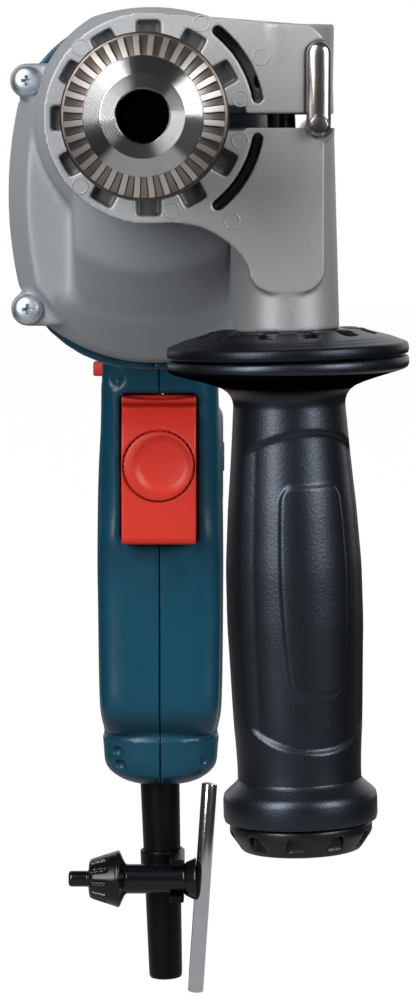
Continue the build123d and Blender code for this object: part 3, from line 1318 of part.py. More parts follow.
def side_grip_cap():
    """End cap pushed into the grip, with notches round its edge."""
    top = SIDE_GRIP_END - SEAT
    cap = turned_z(
        (0, CAP_END),
        (CAP_END_R, CAP_END),
        (CAP_R, CAP_END + 0.55 * CAP_LENGTH),
        (CAP_R, top),
        (GRIP_HOLLOW_R - SEAT, top),
        (GRIP_HOLLOW_R - SEAT, top + CAP_PLUG_LENGTH),
        (0, top + CAP_PLUG_LENGTH),
    )
    notch = Pos(CAP_R, 0, top - CAP_LENGTH / 2) * Box(3.6, CAP_NOTCH_WIDTH, CAP_LENGTH / 2)
    for k in range(CAP_NOTCHES):
        cap -= Rot(0, 0, 360 * (k + 0.5) / CAP_NOTCHES) * notch
    return on_handle(cap)


def depth_stop_rod():
    start = CLAMP_FRONT - DEPTH_ROD_PROUD
    straight = rod(DEPTH_ROD_R, start, start + DEPTH_ROD_LENGTH, DEPTH_ROD_X, DEPTH_ROD_Z)
    straight = chamfer(straight.edges().filter_by(GeomType.CIRCLE), 0.5)
    leg_end = CLAMP_FRONT + DEPTH_LEG_SUNK - RUN
    leg = slab(depth_leg(0), leg_end - DEPTH_LEG_THICKNESS, leg_end)
    return straight + leg


def main():
    shell = housing_shell()
    first_jaw = chuck_jaw()
    jaws = round_spindle(first_jaw, JAWS, -JAW_PHASE)
    seal_r = SPINDLE_COLLAR_R + RUN
    nodes = {
        "chuck_body": chuck_body(),
        "chuck_sleeve": chuck_sleeve(),
        "chuck_nut": chuck_nut(),
        "chuck_screw": chuck_screw(),
        "spindle": spindle(),
        "spindle_seal": ring(seal_r, FRONT_BEARING_R, NECK_START + 1.0, BEARING_START - 1.0),
        "front_bearing": bearing(SPINDLE_R + RUN, FRONT_BEARING_R, BEARING_START + SEAT, BEARING_END - SEAT),
        "spacer_sleeve": ring(SPINDLE_R + SEAT, SPACER_R, BEARING_END + SEAT, GEAR_START - SEAT),
        "output_gear": output_gear(),
        "gear_circlip": gear_circlip(),
        "rear_bush": ring(REAR_JOURNAL_R + RUN, REAR_BUSH_R, BUSH_START, BUSH_END - SEAT),
        "gear_housing": gear_housing(),
        "gear_plate": gear_plate(),
        "gear_housing_screws": gear_housing_screws(),
        "armature_shaft": armature_shaft(),
        "armature_core": armature_core(),
        "armature_windings": armature_windings(),
        "commutator": commutator(),
        "cooling_fan": cooling_fan(),
        "armature_front_bearing": on_motor(bearing(
            ARMATURE_FRONT_R + RUN, FRONT_MOTOR_BEARING_R, MOTOR_BEARING_START + SEAT, CASE_END - SEAT
        )),
        "armature_rear_bearing": on_motor(
            bearing(ARMATURE_REAR_R + RUN, REAR_MOTOR_BEARING_R, REAR_BEARING_START, REAR_BEARING_END)
        ),
        "field_stator": field_stator(),
        "field_coils": field_coils(),
        "brush_holders": brush_holders(),
        "carbon_brushes": carbon_brushes(),
        "brush_springs": brush_springs(),
        "housing_left": housing_half(shell, -1),
        "housing_right": housing_half(shell, 1),
        "housing_screws": housing_screws(),
        "switch_body": switch_body(),
        "trigger": trigger(),
        "trigger_spring": trigger_spring(),
        "speed_dial": speed_dial(),
        "reverse_lever": reverse_lever(),
        "lock_button": lock_button(),
        "strain_relief": strain_relief(),
        "key_holder": key_holder(),
        "chuck_key_body": chuck_key_body(),
        "key_cross_bar": key_cross_bar(),
        "side_handle_clamp": side_handle_clamp(),
        "clamp_bolt": clamp_bolt(),
        "flange_disc": flange_disc(),
        "side_grip": side_grip(),
        "grip_nut": grip_nut(),
        "side_grip_cap": side_grip_cap(),
        "depth_stop_rod": depth_stop_rod(),
    }
    for k, jaw in enumerate(jaws):
        nodes[f"chuck_jaw_{k + 1}"] = jaw
    os.makedirs("parts", exist_ok=True)
    for name, shape in nodes.items():
        export_step(shape, f"parts/{name}.step")


if __name__ == "__main__":
    main()
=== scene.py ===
import json
from math import atan2, cos, degrees, pi, radians, sin

import bmesh
import bpy
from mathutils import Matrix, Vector


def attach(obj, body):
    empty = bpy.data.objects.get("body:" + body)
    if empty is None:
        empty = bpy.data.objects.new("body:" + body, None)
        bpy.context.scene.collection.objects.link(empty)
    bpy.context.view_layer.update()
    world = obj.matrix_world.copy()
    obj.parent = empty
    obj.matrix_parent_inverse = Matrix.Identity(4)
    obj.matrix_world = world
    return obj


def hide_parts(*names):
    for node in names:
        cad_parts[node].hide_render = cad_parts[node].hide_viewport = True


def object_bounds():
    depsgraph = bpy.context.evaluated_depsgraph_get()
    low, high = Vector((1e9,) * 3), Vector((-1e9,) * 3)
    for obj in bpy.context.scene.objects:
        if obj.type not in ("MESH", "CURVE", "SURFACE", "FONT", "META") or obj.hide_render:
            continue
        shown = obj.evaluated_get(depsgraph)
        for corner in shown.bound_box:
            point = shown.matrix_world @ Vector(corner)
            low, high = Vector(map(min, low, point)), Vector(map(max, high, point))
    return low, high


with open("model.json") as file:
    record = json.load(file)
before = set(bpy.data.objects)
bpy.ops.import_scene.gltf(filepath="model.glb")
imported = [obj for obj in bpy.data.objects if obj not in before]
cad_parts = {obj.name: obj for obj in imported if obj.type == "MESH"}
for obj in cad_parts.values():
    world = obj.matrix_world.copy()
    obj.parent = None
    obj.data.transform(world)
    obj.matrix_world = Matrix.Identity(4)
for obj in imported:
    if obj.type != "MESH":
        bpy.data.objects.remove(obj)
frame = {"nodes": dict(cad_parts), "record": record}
cad_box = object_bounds()
nodes = frame["nodes"]

MM = 0.001
AXES = {"X": (1, 0, 0), "Y": (0, 1, 0), "Z": (0, 0, 1)}

# Places on the drill in millimetres: the spindle lies along Y, the chuck's mouth is at Y 0, Z is up.
CASE_END = 135.0
CASE_SCREWS = ((-37, 11.5), (-37, -55.5), (37, 11.5), (37, -55.5))
GRIP_END = -214.5
TRIGGER_TOP = -86.2
TRIGGER_LOW = -133.2
TRIGGER_FRONT = 195.0
TRIGGER_BACK = 211.0
TRIGGER_HALF = 11.8
TRIGGER_GAP = 0.35
DIAL_Z = -108.05
LOCK = (0, 227.3, -107.5)
KEY_Y = 219.0
KEY_Z = -243.0
KEY_LOWER = -1.6
BAR_X = 13.93
BAR_LEAN = 3.84
BAR_DROP = -4.5
BOOT = (-0.5, 235.0, GRIP_END)
BOOT_LEAN = 1.65
HANDLE = (38.15, 81.05, -30.0)
HANDLE_LEAN = 1.7
HANDLE_BORE = 4.2
ROD_X = 47.5
ROD_Z = -2.0

# Sizes in millimetres, and numbers of what repeats
JAWS = 3
SLEEVE_TEETH = 32
KEY_TEETH = 12
DIAL_SERRATIONS = 40
DISC_NOTCHES = 12
CAP_NOTCHES = 10
BARREL_WALL = 3.0
BARREL_CORNER = 37.5
GRIP_WALL = 2.8
VENT_WIDTH = 3
SEAM_HALF = 0.03
SEAM_REACH = 0.4
SEAM_DEPTH = 0.26
PANEL_TURN = 19.5
THREAD_PITCH = 1.25
THREAD_TURNS = 76


# Modelling

def start_fresh():
    """Ends the last edit and leaves nothing selected."""
    if bpy.context.object and bpy.context.object.mode == "EDIT":
        bpy.ops.object.mode_set(mode="OBJECT")
    bpy.ops.object.select_all(action="DESELECT")


def take(piece):
    """Selects the piece alone and makes it the active one."""
    start_fresh()
    piece.select_set(True)
    bpy.context.view_layer.objects.active = piece


def open_for_edit(piece):
    """Takes the piece into edit mode."""
    take(piece)
    bpy.ops.object.mode_set(mode="EDIT")


def pick(kind, test):
    """Selects the vertices or edges of the edited piece whose middle, in millimetres, passes the test."""
    bpy.ops.mesh.select_mode(type=kind)
    bpy.ops.mesh.select_all(action="DESELECT")
    mesh = bmesh.from_edit_mesh(bpy.context.object.data)
    for part in {"VERT": mesh.verts, "EDGE": mesh.edges}[kind]:
        middle = part.co if kind == "VERT" else sum((v.co for v in part.verts), Vector()) / len(part.verts)
        if test(middle / MM):
            part.select_set(True)
    mesh.select_flush_mode()
    bmesh.update_edit_mesh(bpy.context.object.data)


def first_vertex(name, x, y, z):
    """A new piece of one vertex, the start of a drawn line."""
    start_fresh()
    bpy.ops.mesh.primitive_plane_add(size=MM, location=(0, 0, 0))
    bpy.context.object.name = name
    bpy.ops.object.mode_set(mode="EDIT")
    bpy.ops.mesh.select_mode(type="VERT")
    bpy.ops.mesh.select_all(action="SELECT")
    bpy.ops.mesh.merge(type="CENTER")
    bpy.ops.transform.translate(value=(x * MM, y * MM, z * MM))


def draw_on(points):
    """Draws the line on from the selected vertex, which is the first point, through the others."""
    for (x0, y0, z0), (x1, y1, z1) in zip(points, points[1:]):
        step = ((x1 - x0) * MM, (y1 - y0) * MM, (z1 - z0) * MM)
        bpy.ops.mesh.extrude_vertices_move(TRANSFORM_OT_translate={"value": step})


def close_up():
    """Merges doubles and turns all faces outwards."""
    bpy.ops.mesh.select_all(action="SELECT")
    bpy.ops.mesh.remove_doubles(threshold=1e-6)
    bpy.ops.mesh.normals_make_consistent(inside=False)
    bpy.ops.object.mode_set(mode="OBJECT")
    return bpy.context.object


def spun(name, axis, profile, steps):
    """Turned piece about X, Y or Z: the (radius, place) profile is drawn and spun once round."""
    across = AXES["Y"] if axis == "X" else AXES["X"]
    along = AXES[axis]
    points = [tuple(r * a + h * b for a, b in zip(across, along)) for r, h in profile]
    first_vertex(name, *points[0])
    draw_on(points)
    bpy.ops.mesh.select_all(action="SELECT")
    bpy.ops.mesh.spin(steps=steps, angle=2 * pi, center=(0, 0, 0), axis=along)
    return close_up()


def rod(name, axis, radius, start, end, steps):
    """Plain cylinder about X, Y or Z."""
    return spun(name, axis, [(0, start), (radius, start), (radius, end), (0, end)], steps)


def drawn(name, outline, y0, y1):
    """Flat piece: its closed (x, z) outline is drawn at y0, filled and extruded to y1."""
    points = [(x, y0, z) for x, z in outline]
    first_vertex(name, *points[0])
    draw_on(points)
    bpy.ops.mesh.select_all(action="SELECT")
    bpy.ops.mesh.edge_face_add()
    bpy.ops.mesh.extrude_region_move(TRANSFORM_OT_translate={"value": (0, (y1 - y0) * MM, 0)})
    return close_up()


def boxed(name, low, high):
    """Block between two corners."""
    start_fresh()
    size = [(b - a) * MM for a, b in zip(low, high)]
    middle = [(a + b) / 2 * MM for a, b in zip(low, high)]
    bpy.ops.mesh.primitive_cube_add(size=1.0, location=middle, scale=size)
    bpy.ops.object.transform_apply(location=True, rotation=True, scale=True)
    bpy.context.object.name = name
    return bpy.context.object


def lofted(name, sections, segments):
    """Piece skinned over rectangles across one axis: (middle, width, depth, corner) each, the first one's
    corner for all."""
    start_fresh()
    (middle, width, depth, corner), rest = sections[0], sections[1:]
    bpy.ops.mesh.primitive_plane_add(size=1.0, location=(0, 0, 0))
    bpy.context.object.name = name
    bpy.ops.object.mode_set(mode="EDIT")
    bpy.ops.transform.resize(value=(width * MM, depth * MM, 1.0))
    bpy.ops.mesh.bevel(offset=corner * MM, segments=segments, affect="VERTICES")
    bpy.ops.transform.translate(value=[c * MM for c in middle])
    for after, wide, deep, _ in rest:
        step = [(b - a) * MM for a, b in zip(middle, after)]
        bpy.ops.mesh.extrude_region_move(TRANSFORM_OT_translate={"value": step})
        centre = [c * MM for c in after]
        bpy.ops.transform.resize(value=(wide / width, deep / depth, 1.0), center_override=centre)
        middle, width, depth = after, wide, deep
    return close_up()


def turned_to(piece, place=(0, 0, 0), turn=(0, 0, 0)):
    """Turns the piece about the origin by degrees round X, Y and Z and moves it to its place, in its mesh."""
    take(piece)
    piece.rotation_euler = [radians(a) for a in turn]
    piece.location = [c * MM for c in place]
    bpy.ops.object.transform_apply(location=True, rotation=True, scale=True)
    return piece


def on_handle(piece):
    """From the Z axis to the leaning axis of the side handle."""
    turned_to(piece, (0, 0, -HANDLE[2]))
    return turned_to(piece, HANDLE, (0, -HANDLE_LEAN, 0))


def on_boot(piece):
    """From the Z axis, with the grip's end at 0, to the leaning axis of the strain relief."""
    return turned_to(piece, BOOT, (0, -BOOT_LEAN, 0))


def on_key_bar(piece):
    """From the Z axis to the leaning axis of the chuck key's cross bar."""
    turned_to(piece, (0, 0, BAR_DROP))
    return turned_to(piece, (BAR_X, KEY_Y, KEY_Z), (0, BAR_LEAN, 0))


def tapered(piece, test, scale, **about):
    """Scales the vertices that pass the test, about their own middle if no centre is given."""
    open_for_edit(piece)
    pick("VERT", test)
    bpy.ops.transform.resize(value=scale, **about)
    bpy.ops.object.mode_set(mode="OBJECT")
    return piece


def flattened(piece, scale):
    """Scales the whole piece about the origin."""
    return tapered(piece, lambda v: True, scale, center_override=(0, 0, 0))


def evened(piece, test, rounds):
    """Smooths the skin where the test passes."""
    open_for_edit(piece)
    pick("VERT", test)
    bpy.ops.mesh.vertices_smooth(factor=0.5, repeat=rounds)
    bpy.ops.object.mode_set(mode="OBJECT")


def ringed(piece, axis, copies):
    """Repeats the piece in equal steps round an axis through the origin."""
    open_for_edit(piece)
    bpy.ops.mesh.select_all(action="SELECT")
    turn = 2 * pi * (copies - 1) / copies
    bpy.ops.mesh.spin(steps=copies - 1, dupli=True, angle=turn, center=(0, 0, 0), axis=AXES[axis])
    return close_up()


def doubled(piece, name):
    """Copy of a piece with a mesh of its own."""
    twin = piece.copy()
    twin.data = piece.data.copy()
    twin.name = name
    bpy.context.scene.collection.objects.link(twin)
    return twin


def joined(first, *others):
    """Puts the others' meshes into the first piece."""
    start_fresh()
    for piece in (first,) + others:
        piece.select_set(True)
    bpy.context.view_layer.objects.active = first
    bpy.ops.object.join()
    return first


def modified(piece, kind, **settings):
    """Adds a modifier with its settings and applies it."""
    take(piece)
    modifier = piece.modifiers.new(kind.lower(), kind)
    for name, value in settings.items():
        setattr(modifier, name, value)
    bpy.ops.object.modifier_apply(modifier=modifier.name)
    return piece


def carved(piece, *tools, operation="DIFFERENCE", crossing=False):
    """Cuts the tools out of the piece, or joins or keeps what they share, and removes the tools."""
    for tool in tools:
        modified(piece, "BOOLEAN", object=tool, operation=operation, solver="EXACT", use_self=crossing)
        bpy.data.meshes.remove(tool.data)
    return piece


def fused(piece, *others):
    """Makes one solid of the piece and the others."""
    return carved(piece, *others, operation="UNION")


def softened(piece, voxel, rounds):
    """Melts the piece into one skin of small squares and smooths it, which rounds edges as a mould does."""
    modified(piece, "REMESH", mode="VOXEL", voxel_size=voxel * MM, use_smooth_shade=True)
    modified(piece, "SMOOTH", factor=0.5, iterations=rounds)
    return piece


def pressed(piece, depth, share):
    """Presses the skin in by the depth, or out if it is negative, by the share from 0 to 1 of each place."""
    group = piece.vertex_groups.new(name="pressed")
    for vertex in piece.data.vertices:
        group.add([vertex.index], share(vertex.co / MM), "REPLACE")
    modified(piece, "DISPLACE", vertex_group=group.name, strength=-depth * MM, mid_level=0.0)
    piece.vertex_groups.clear()
    return piece


def ramp(value, low, high):
    """0 up to low, 1 from high on and a straight slope between, also with low above high."""
    return min(1.0, max(0.0, (value - low) / (high - low)))


def bevelled(piece, width, segments=2, angle=30.0):
    """Bevels the edges that are sharper than the angle."""
    modified(piece, "BEVEL", width=width * MM, segments=segments, limit_method="ANGLE",
             angle_limit=radians(angle), harden_normals=False)
    return shaded(piece, angle)


def shaded(piece, angle=30.0):
    """Smooth shading, with the edges sharper than the angle left crisp."""
    take(piece)
    bpy.ops.object.shade_smooth_by_angle(angle=radians(angle))
    return piece


def copied(node, name):
    """Copy of a solid's mesh with its loose triangles joined up."""
    piece = bpy.data.objects.new(name, nodes[node].data.copy())
    bpy.context.scene.collection.objects.link(piece)
    open_for_edit(piece)
    bpy.ops.mesh.select_all(action="SELECT")
    bpy.ops.mesh.remove_doubles(threshold=1e-6)
    bpy.ops.object.mode_set(mode="OBJECT")
    return piece


def settled(piece, finish, body, slot, *stands_for):
    """Gives the finished piece its material, its body and the solids it stands for; slot is not used."""
    piece.data.materials.clear()
    piece.data.materials.append(finish)
    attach(piece, body)
    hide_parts(*stands_for)
    return piece


def eased(points, steps):
    """Smooth curve through points of any number of values, with steps between each pair."""
    ends = [points[0]] + list(points) + [points[-1]]
    line = []
    for a, b, c, d in zip(ends, ends[1:], ends[2:], ends[3:]):
        for k in range(steps):
            t = k / steps
            line.append(tuple(
                0.5 * (2 * q + (r - p) * t + (2 * p - 5 * q + 4 * r - s) * t ** 2
                       + (3 * q - p - 3 * r + s) * t ** 3)
                for p, q, r, s in zip(a, b, c, d)
            ))
    return line + [tuple(points[-1])]


def arc(radius, height, first, last, step):
    """Points (radius, place) of a round end whose middle is at the height, from angle to angle in degrees."""
    turns = [radians(a) for a in range(first, last, step)]
    return [(radius * cos(a), height + radius * sin(a)) for a in turns]


# Materials

HANDLING_MM = 30.0
FLOW_MM = 24.0
STAIN_MM = 9.0
OIL_STAIN_MM = 7.0
MATT_FADE_MM = 3.0
# Painted shade in the hollows of the clamp's collar: how it fades in, how much it covers, and its colour
HOLLOW_SHADE_FADE_MM = 2.4
HOLLOW_SHADE_COVER = 0.84
HOLLOW_SHADE = "#101010"
NOWHERE = (1000, 1000)  # heights above every piece
ALONG_ROD = (1.0, 1.0, 0.06)


def colour(hex_code):
    """sRGB hex code as linear red, green, blue and alpha."""
    parts = [int(hex_code[i:i + 2], 16) / 255 for i in (1, 3, 5)]
    return tuple(c / 12.92 if c <= 0.04045 else ((c + 0.055) / 1.055) ** 2.4 for c in parts) + (1.0,)


def add(tree, kind, inputs=None, **settings):
    """Adds a node: settings are its own properties, inputs are values or (node, output) links by socket."""
    new = tree.nodes.new(kind)
    for name, value in settings.items():
        setattr(new, name, value)
    for socket, value in (inputs or {}).items():
        if isinstance(value, tuple) and len(value) == 2 and isinstance(value[0], bpy.types.Node):
            tree.links.new(value[0].outputs[value[1]], new.inputs[socket])
        else:
            new.inputs[socket].default_value = value
    return new


def blank(name):
    """Material with an empty tree."""
    made = bpy.data.materials.new(name)
    made.use_nodes = True
    made.node_tree.nodes.clear()
    return made, made.node_tree


def per_mm(size):
    """Scale of a noise whose grains are this many millimetres wide."""
    return 1.0 / (size * MM)


def clouds(tree, place, size_mm, base, shade):
    """Slow change of tone: a noise with clouds this wide, and the mix of the two colours by it."""
    cloud = add(tree, "ShaderNodeTexNoise", {
        "Vector": (place, "Object"), "Scale": per_mm(size_mm), "Detail": 3.0})
    tint = add(tree, "ShaderNodeMix", {"Factor": (cloud, "Fac"), 6: colour(base), 7: colour(shade)},
               data_type="RGBA")
    return cloud, tint


def from_spindle(tree, place):
    """The place by its three axes, and its distance from the spindle."""
    split = add(tree, "ShaderNodeSeparateXYZ", {"Vector": (place, "Object")})
    flat = add(tree, "ShaderNodeCombineXYZ", {"X": (split, "X"), "Z": (split, "Z")})
    radius = add(tree, "ShaderNodeVectorMath", {0: (flat, "Vector")}, operation="LENGTH")
    return split, radius


def moulded(name, base, shade, grain_mm, depth_mm, rough_low, rough_high, specular=0.5, gleam="#ffffff",
            matt_mm=NOWHERE):
    """Injection moulding: a spark-eroded grain breaks up the sheen, and handling changes tone and gloss in
    clouds. Between two heights, in millimetres, the mould was left dull."""
    made, tree = blank(name)
    place = add(tree, "ShaderNodeTexCoord")
    grain = add(tree, "ShaderNodeTexNoise", {
        "Vector": (place, "Object"), "Scale": per_mm(grain_mm), "Detail": 2.0})
    cloud, tint = clouds(tree, place, HANDLING_MM, base, shade)
    rough = add(tree, "ShaderNodeMapRange", {
        "Value": (cloud, "Fac"), "To Min": rough_low, "To Max": rough_high})
    bump = add(tree, "ShaderNodeBump", {
        "Height": (grain, "Fac"), "Distance": depth_mm * MM, "Strength": 1.0})
    split = add(tree, "ShaderNodeSeparateXYZ", {"Vector": (place, "Object")})
    under = add(tree, "ShaderNodeMath", {0: (split, "Z"), 1: matt_mm[1] * MM}, operation="LESS_THAN")
    over = add(tree, "ShaderNodeMapRange", {
        "Value": (split, "Z"), "From Min": (matt_mm[0] - MATT_FADE_MM) * MM, "From Max": matt_mm[0] * MM})
    matt = add(tree, "ShaderNodeMath", {0: (under, "Value"), 1: (over, "Result")}, operation="MULTIPLY")
    gloss = add(tree, "ShaderNodeMapRange", {"Value": (matt, "Value"), "To Min": specular, "To Max": 0.0})
    shader = add(tree, "ShaderNodeBsdfPrincipled", {
        "Base Color": (tint, 2), "Roughness": (rough, "Result"), "Normal": (bump, "Normal"), "IOR": 1.5,
        "Specular IOR Level": (gloss, "Result"), "Specular Tint": colour(gleam),
    })
    add(tree, "ShaderNodeOutputMaterial", {"Surface": (shader, "BSDF")})
    return made


def cast(name, base, shade, grain_mm, depth_mm, rough_low, rough_high, metallic, hollow_shade_r=0.0, hollow_shade_y=0.0):
    """Die casting: a fine shot-blasted grain, a slow change of tone from the flow of the metal, and painted
    shade, near black, in the hollows that lie nearer to the spindle and further back along it than the last
    two arguments, in millimetres."""
    made, tree = blank(name)
    place = add(tree, "ShaderNodeTexCoord")
    grain = add(tree, "ShaderNodeTexNoise", {
        "Vector": (place, "Object"), "Scale": per_mm(grain_mm), "Detail": 3.0})
    _, tint = clouds(tree, place, FLOW_MM, base, shade)
    speck = add(tree, "ShaderNodeMapRange", {
        "Value": (grain, "Fac"), "From Min": 0.3, "From Max": 0.7, "To Min": 0.9, "To Max": 1.1})
    dusted = add(tree, "ShaderNodeMix", {"Factor": 1.0, 6: (tint, 2), 7: (speck, "Result")},
                 data_type="RGBA", blend_type="MULTIPLY")
    split, radius = from_spindle(tree, place)
    # Painted shade: near the spindle and behind the given place along Y the colour goes towards near black
    near = add(tree, "ShaderNodeMath", {0: (radius, "Value"), 1: hollow_shade_r * MM}, operation="LESS_THAN")
    sunk = add(tree, "ShaderNodeMapRange", {
        "Value": (split, "Y"), "From Min": hollow_shade_y * MM, "From Max": (hollow_shade_y + HOLLOW_SHADE_FADE_MM) * MM,
        "To Max": HOLLOW_SHADE_COVER})
    hollow_shade = add(tree, "ShaderNodeMath", {0: (near, "Value"), 1: (sunk, "Result")}, operation="MULTIPLY")
    hollow_shaded = add(tree, "ShaderNodeMix", {"Factor": (hollow_shade, "Value"), 6: (dusted, 2), 7: colour(HOLLOW_SHADE)},
                data_type="RGBA")
    rough = add(tree, "ShaderNodeMapRange", {
        "Value": (grain, "Fac"), "To Min": rough_low, "To Max": rough_high})
    bump = add(tree, "ShaderNodeBump", {
        "Height": (grain, "Fac"), "Distance": depth_mm * MM, "Strength": 1.0})
    shader = add(tree, "ShaderNodeBsdfPrincipled", {
        "Base Color": (hollow_shaded, 2), "Roughness": (rough, "Result"), "Normal": (bump, "Normal"),
        "Metallic": metallic,
    })
    add(tree, "ShaderNodeOutputMaterial", {"Surface": (shader, "BSDF")})
    return made


def machined(name, base, shade, lay_mm, depth_mm, rough_low, rough_high, lay=(1.0, 1.0, 1.0), metallic=1.0):
    """Machined or plated metal: marks drawn out along the lay of the cut, and stains that change its tone."""
    made, tree = blank(name)
    place = add(tree, "ShaderNodeTexCoord")
    drawn_out = add(tree, "ShaderNodeMapping", {"Vector": (place, "Object"), "Scale": lay})
    marks = add(tree, "ShaderNodeTexNoise", {
        "Vector": (drawn_out, "Vector"), "Scale": per_mm(lay_mm), "Detail": 3.0})
    _, tint = clouds(tree, place, STAIN_MM, base, shade)
    rough = add(tree, "ShaderNodeMapRange", {
        "Value": (marks, "Fac"), "To Min": rough_low, "To Max": rough_high})
    bump = add(tree, "ShaderNodeBump", {
        "Height": (marks, "Fac"), "Distance": depth_mm * MM, "Strength": 1.0})
    shader = add(tree, "ShaderNodeBsdfPrincipled", {
        "Base Color": (tint, 2), "Roughness": (rough, "Result"), "Normal": (bump, "Normal"),
        "Metallic": metallic,
    })
    add(tree, "ShaderNodeOutputMaterial", {"Surface": (shader, "BSDF")})
    return made


def turned_steel(name, base, shade, ring_mm, depth_mm, rough, rings_show, cone_r, cone_y, cone_slope, oil,
                 floor):
    """Steel faced on a lathe: fine rings about the spindle stretch highlights to a bow tie. Painted shade,
    in the colour oil, darkens what lies behind a cone that starts at cone_r and cone_y, in millimetres, and
    thins out at the floor to the colour floor."""
    made, tree = blank(name)
    place = add(tree, "ShaderNodeTexCoord")
    split, radius = from_spindle(tree, place)
    rings = add(tree, "ShaderNodeTexNoise", {
        "W": (radius, "Value"), "Scale": per_mm(ring_mm), "Detail": 2.0}, noise_dimensions="1D")
    _, tint = clouds(tree, place, OIL_STAIN_MM, base, shade)
    # Painted shade behind the cone: the oil colour darkens the steel, the floor colour shows from 1.75 mm
    # behind it and fades back past 2.4 mm
    cone_tip = (cone_y - cone_slope * cone_r) * MM
    past = add(tree, "ShaderNodeMath", {0: (radius, "Value"), 1: cone_slope, 2: cone_tip},
               operation="MULTIPLY_ADD")
    behind = add(tree, "ShaderNodeMath", {0: (split, "Y"), 1: (past, "Value")}, operation="SUBTRACT")
    in_shade = add(tree, "ShaderNodeMapRange", {
        "Value": (behind, "Value"), "From Min": 0.1 * MM, "From Max": 0.9 * MM})
    gap_floor_share = add(tree, "ShaderNodeMapRange", {
        "Value": (behind, "Value"), "From Min": 1.45 * MM, "From Max": 1.75 * MM})
    side = add(tree, "ShaderNodeMapRange", {
        "Value": (behind, "Value"), "From Min": 2.4 * MM, "From Max": 2.8 * MM, "To Min": 1.0, "To Max": 0.3})
    floor_shown = add(tree, "ShaderNodeMath", {0: (gap_floor_share, "Result"), 1: (side, "Result")}, operation="MULTIPLY")
    shade_tone = add(tree, "ShaderNodeMix", {"Factor": (floor_shown, "Value"), 6: colour(oil), 7: colour(floor)},
               data_type="RGBA")
    stained_and_shaded = add(tree, "ShaderNodeMix", {"Factor": (in_shade, "Result"), 6: (tint, 2), 7: (shade_tone, 2)},
                  data_type="RGBA")
    lay = add(tree, "ShaderNodeTangent", direction_type="RADIAL", axis="Y")
    bump = add(tree, "ShaderNodeBump", {
        "Height": (rings, "Fac"), "Distance": depth_mm * MM, "Strength": 1.0})
    shader = add(tree, "ShaderNodeBsdfPrincipled", {
        "Base Color": (stained_and_shaded, 2), "Roughness": rough, "Normal": (bump, "Normal"), "Metallic": 1.0,
        "Anisotropic": rings_show, "Anisotropic Rotation": 0.25, "Tangent": (lay, "Tangent"),
    })
    add(tree, "ShaderNodeOutputMaterial", {"Surface": (shader, "BSDF")})
    return made


# Bright steel, turned: pale and cool, ringed by the tool, with painted shade, near black, inside its mouth.
CHUCK_STEEL = turned_steel("turned bright steel", "#dcdddd", "#cecece", 0.35, 0.002, 0.26, rings_show=1.0,
                           cone_r=7.0, cone_y=0.4, cone_slope=14.0, oil="#0b0a0a", floor="#0b0a0a")
# Bright steel with milled teeth: the lands stay pale, painted brown shade darkens the gaps and the side.
TOOTHED_STEEL = turned_steel("turned and milled steel", "#e8e4e1", "#d8d1cb", 0.35, 0.002, 0.42,
                             rings_show=0.15, cone_r=16.05, cone_y=10.5, cone_slope=0.725, oil="#2a2421",
                             floor="#a89d95")
# Steel shaft, turned: plain grey with the faint marks of the tool.
SHAFT_STEEL = machined("turned shaft steel", "#b9b7b3", "#a19d97", 0.3, 0.004, 0.25, 0.4)
# Hardened steel, oil blackened: nearly black, with short crossed scratches.
GROUND_STEEL = machined("oil blackened hardened steel", "#1d1b1a", "#151312", 0.3, 0.004, 0.34, 0.5)
# Bearing steel, ground: clean grey with fine scratches.
BEARING_STEEL = machined("ground bearing steel", "#9a9a99", "#86847f", 0.3, 0.003, 0.2, 0.35)
# Zinc plate on steel: bluish white with a slightly mottled gloss.
ZINC = machined("zinc plated steel", "#dfe8ef", "#c6d2dc", 0.4, 0.006, 0.4, 0.52)
# Steel rod, drawn and plated: long scratches along the rod.
BRIGHT_ROD = machined("bright drawn steel", "#e6e7ec", "#d2d3d8", 0.25, 0.002, 0.1, 0.18, lay=ALONG_ROD)
# The same rod, duller, with a brown tinge that is a painted reflection of brown surroundings.
DULL_ROD = machined("dulled drawn steel", "#cfcbc8", "#aea6a1", 0.25, 0.003, 0.19, 0.27, lay=ALONG_ROD)
# Black oxide on forged steel: near black, semi-gloss, with a cool sheen.
BLACK_OXIDE = machined("black oxide steel", "#0d0f13", "#090a0d", 0.3, 0.003, 0.16, 0.26, metallic=0.1)
# Bronze bush, sintered: dull brown gold with fine pores.
BRONZE = machined("sintered bronze", "#9a7440", "#7d5c30", 0.25, 0.01, 0.4, 0.6)
# Copper wire under varnish: reddish brown, glossy, strand by strand.
COPPER = machined("varnished copper", "#b86a3a", "#8f4c26", 0.5, 0.05, 0.25, 0.45)
# Sheet iron in a stack: grey with the fine steps of the sheets across the motor.
LAMINATION = machined("stacked sheet iron", "#6f6c69", "#57534f", 0.5, 0.02, 0.4, 0.6, lay=(0.1, 2.0, 0.1))
# Aluminium casting, grey painted: smooth, matt and even, with a breath of grain.
CAST_GREY = cast("die cast housing, grey paint", "#999da2", "#8d9196", 0.45, 0.012, 0.46, 0.6, 0.2)
# Aluminium casting, shot blasted: lighter, with a sparkling fine grain and painted shade in the collar's
# hollows.
CAST_CLAMP = cast("die cast aluminium, blasted", "#aaacae", "#9c9ea0", 0.5, 0.035, 0.4, 0.58, 0.45,
                  hollow_shade_r=30.2, hollow_shade_y=66.5)
# The same casting without the painted shade, for the plate inside.
CAST_PLATE = cast("die cast aluminium, clean", "#a4a6a8", "#96989a", 0.5, 0.03, 0.4, 0.58, 0.45)
# Nylon with glass, moulded: deep teal, satin.
TEAL = moulded("moulded teal nylon", "#083e52", "#0a4559", 0.5, 0.008, 0.28, 0.38, 0.4)
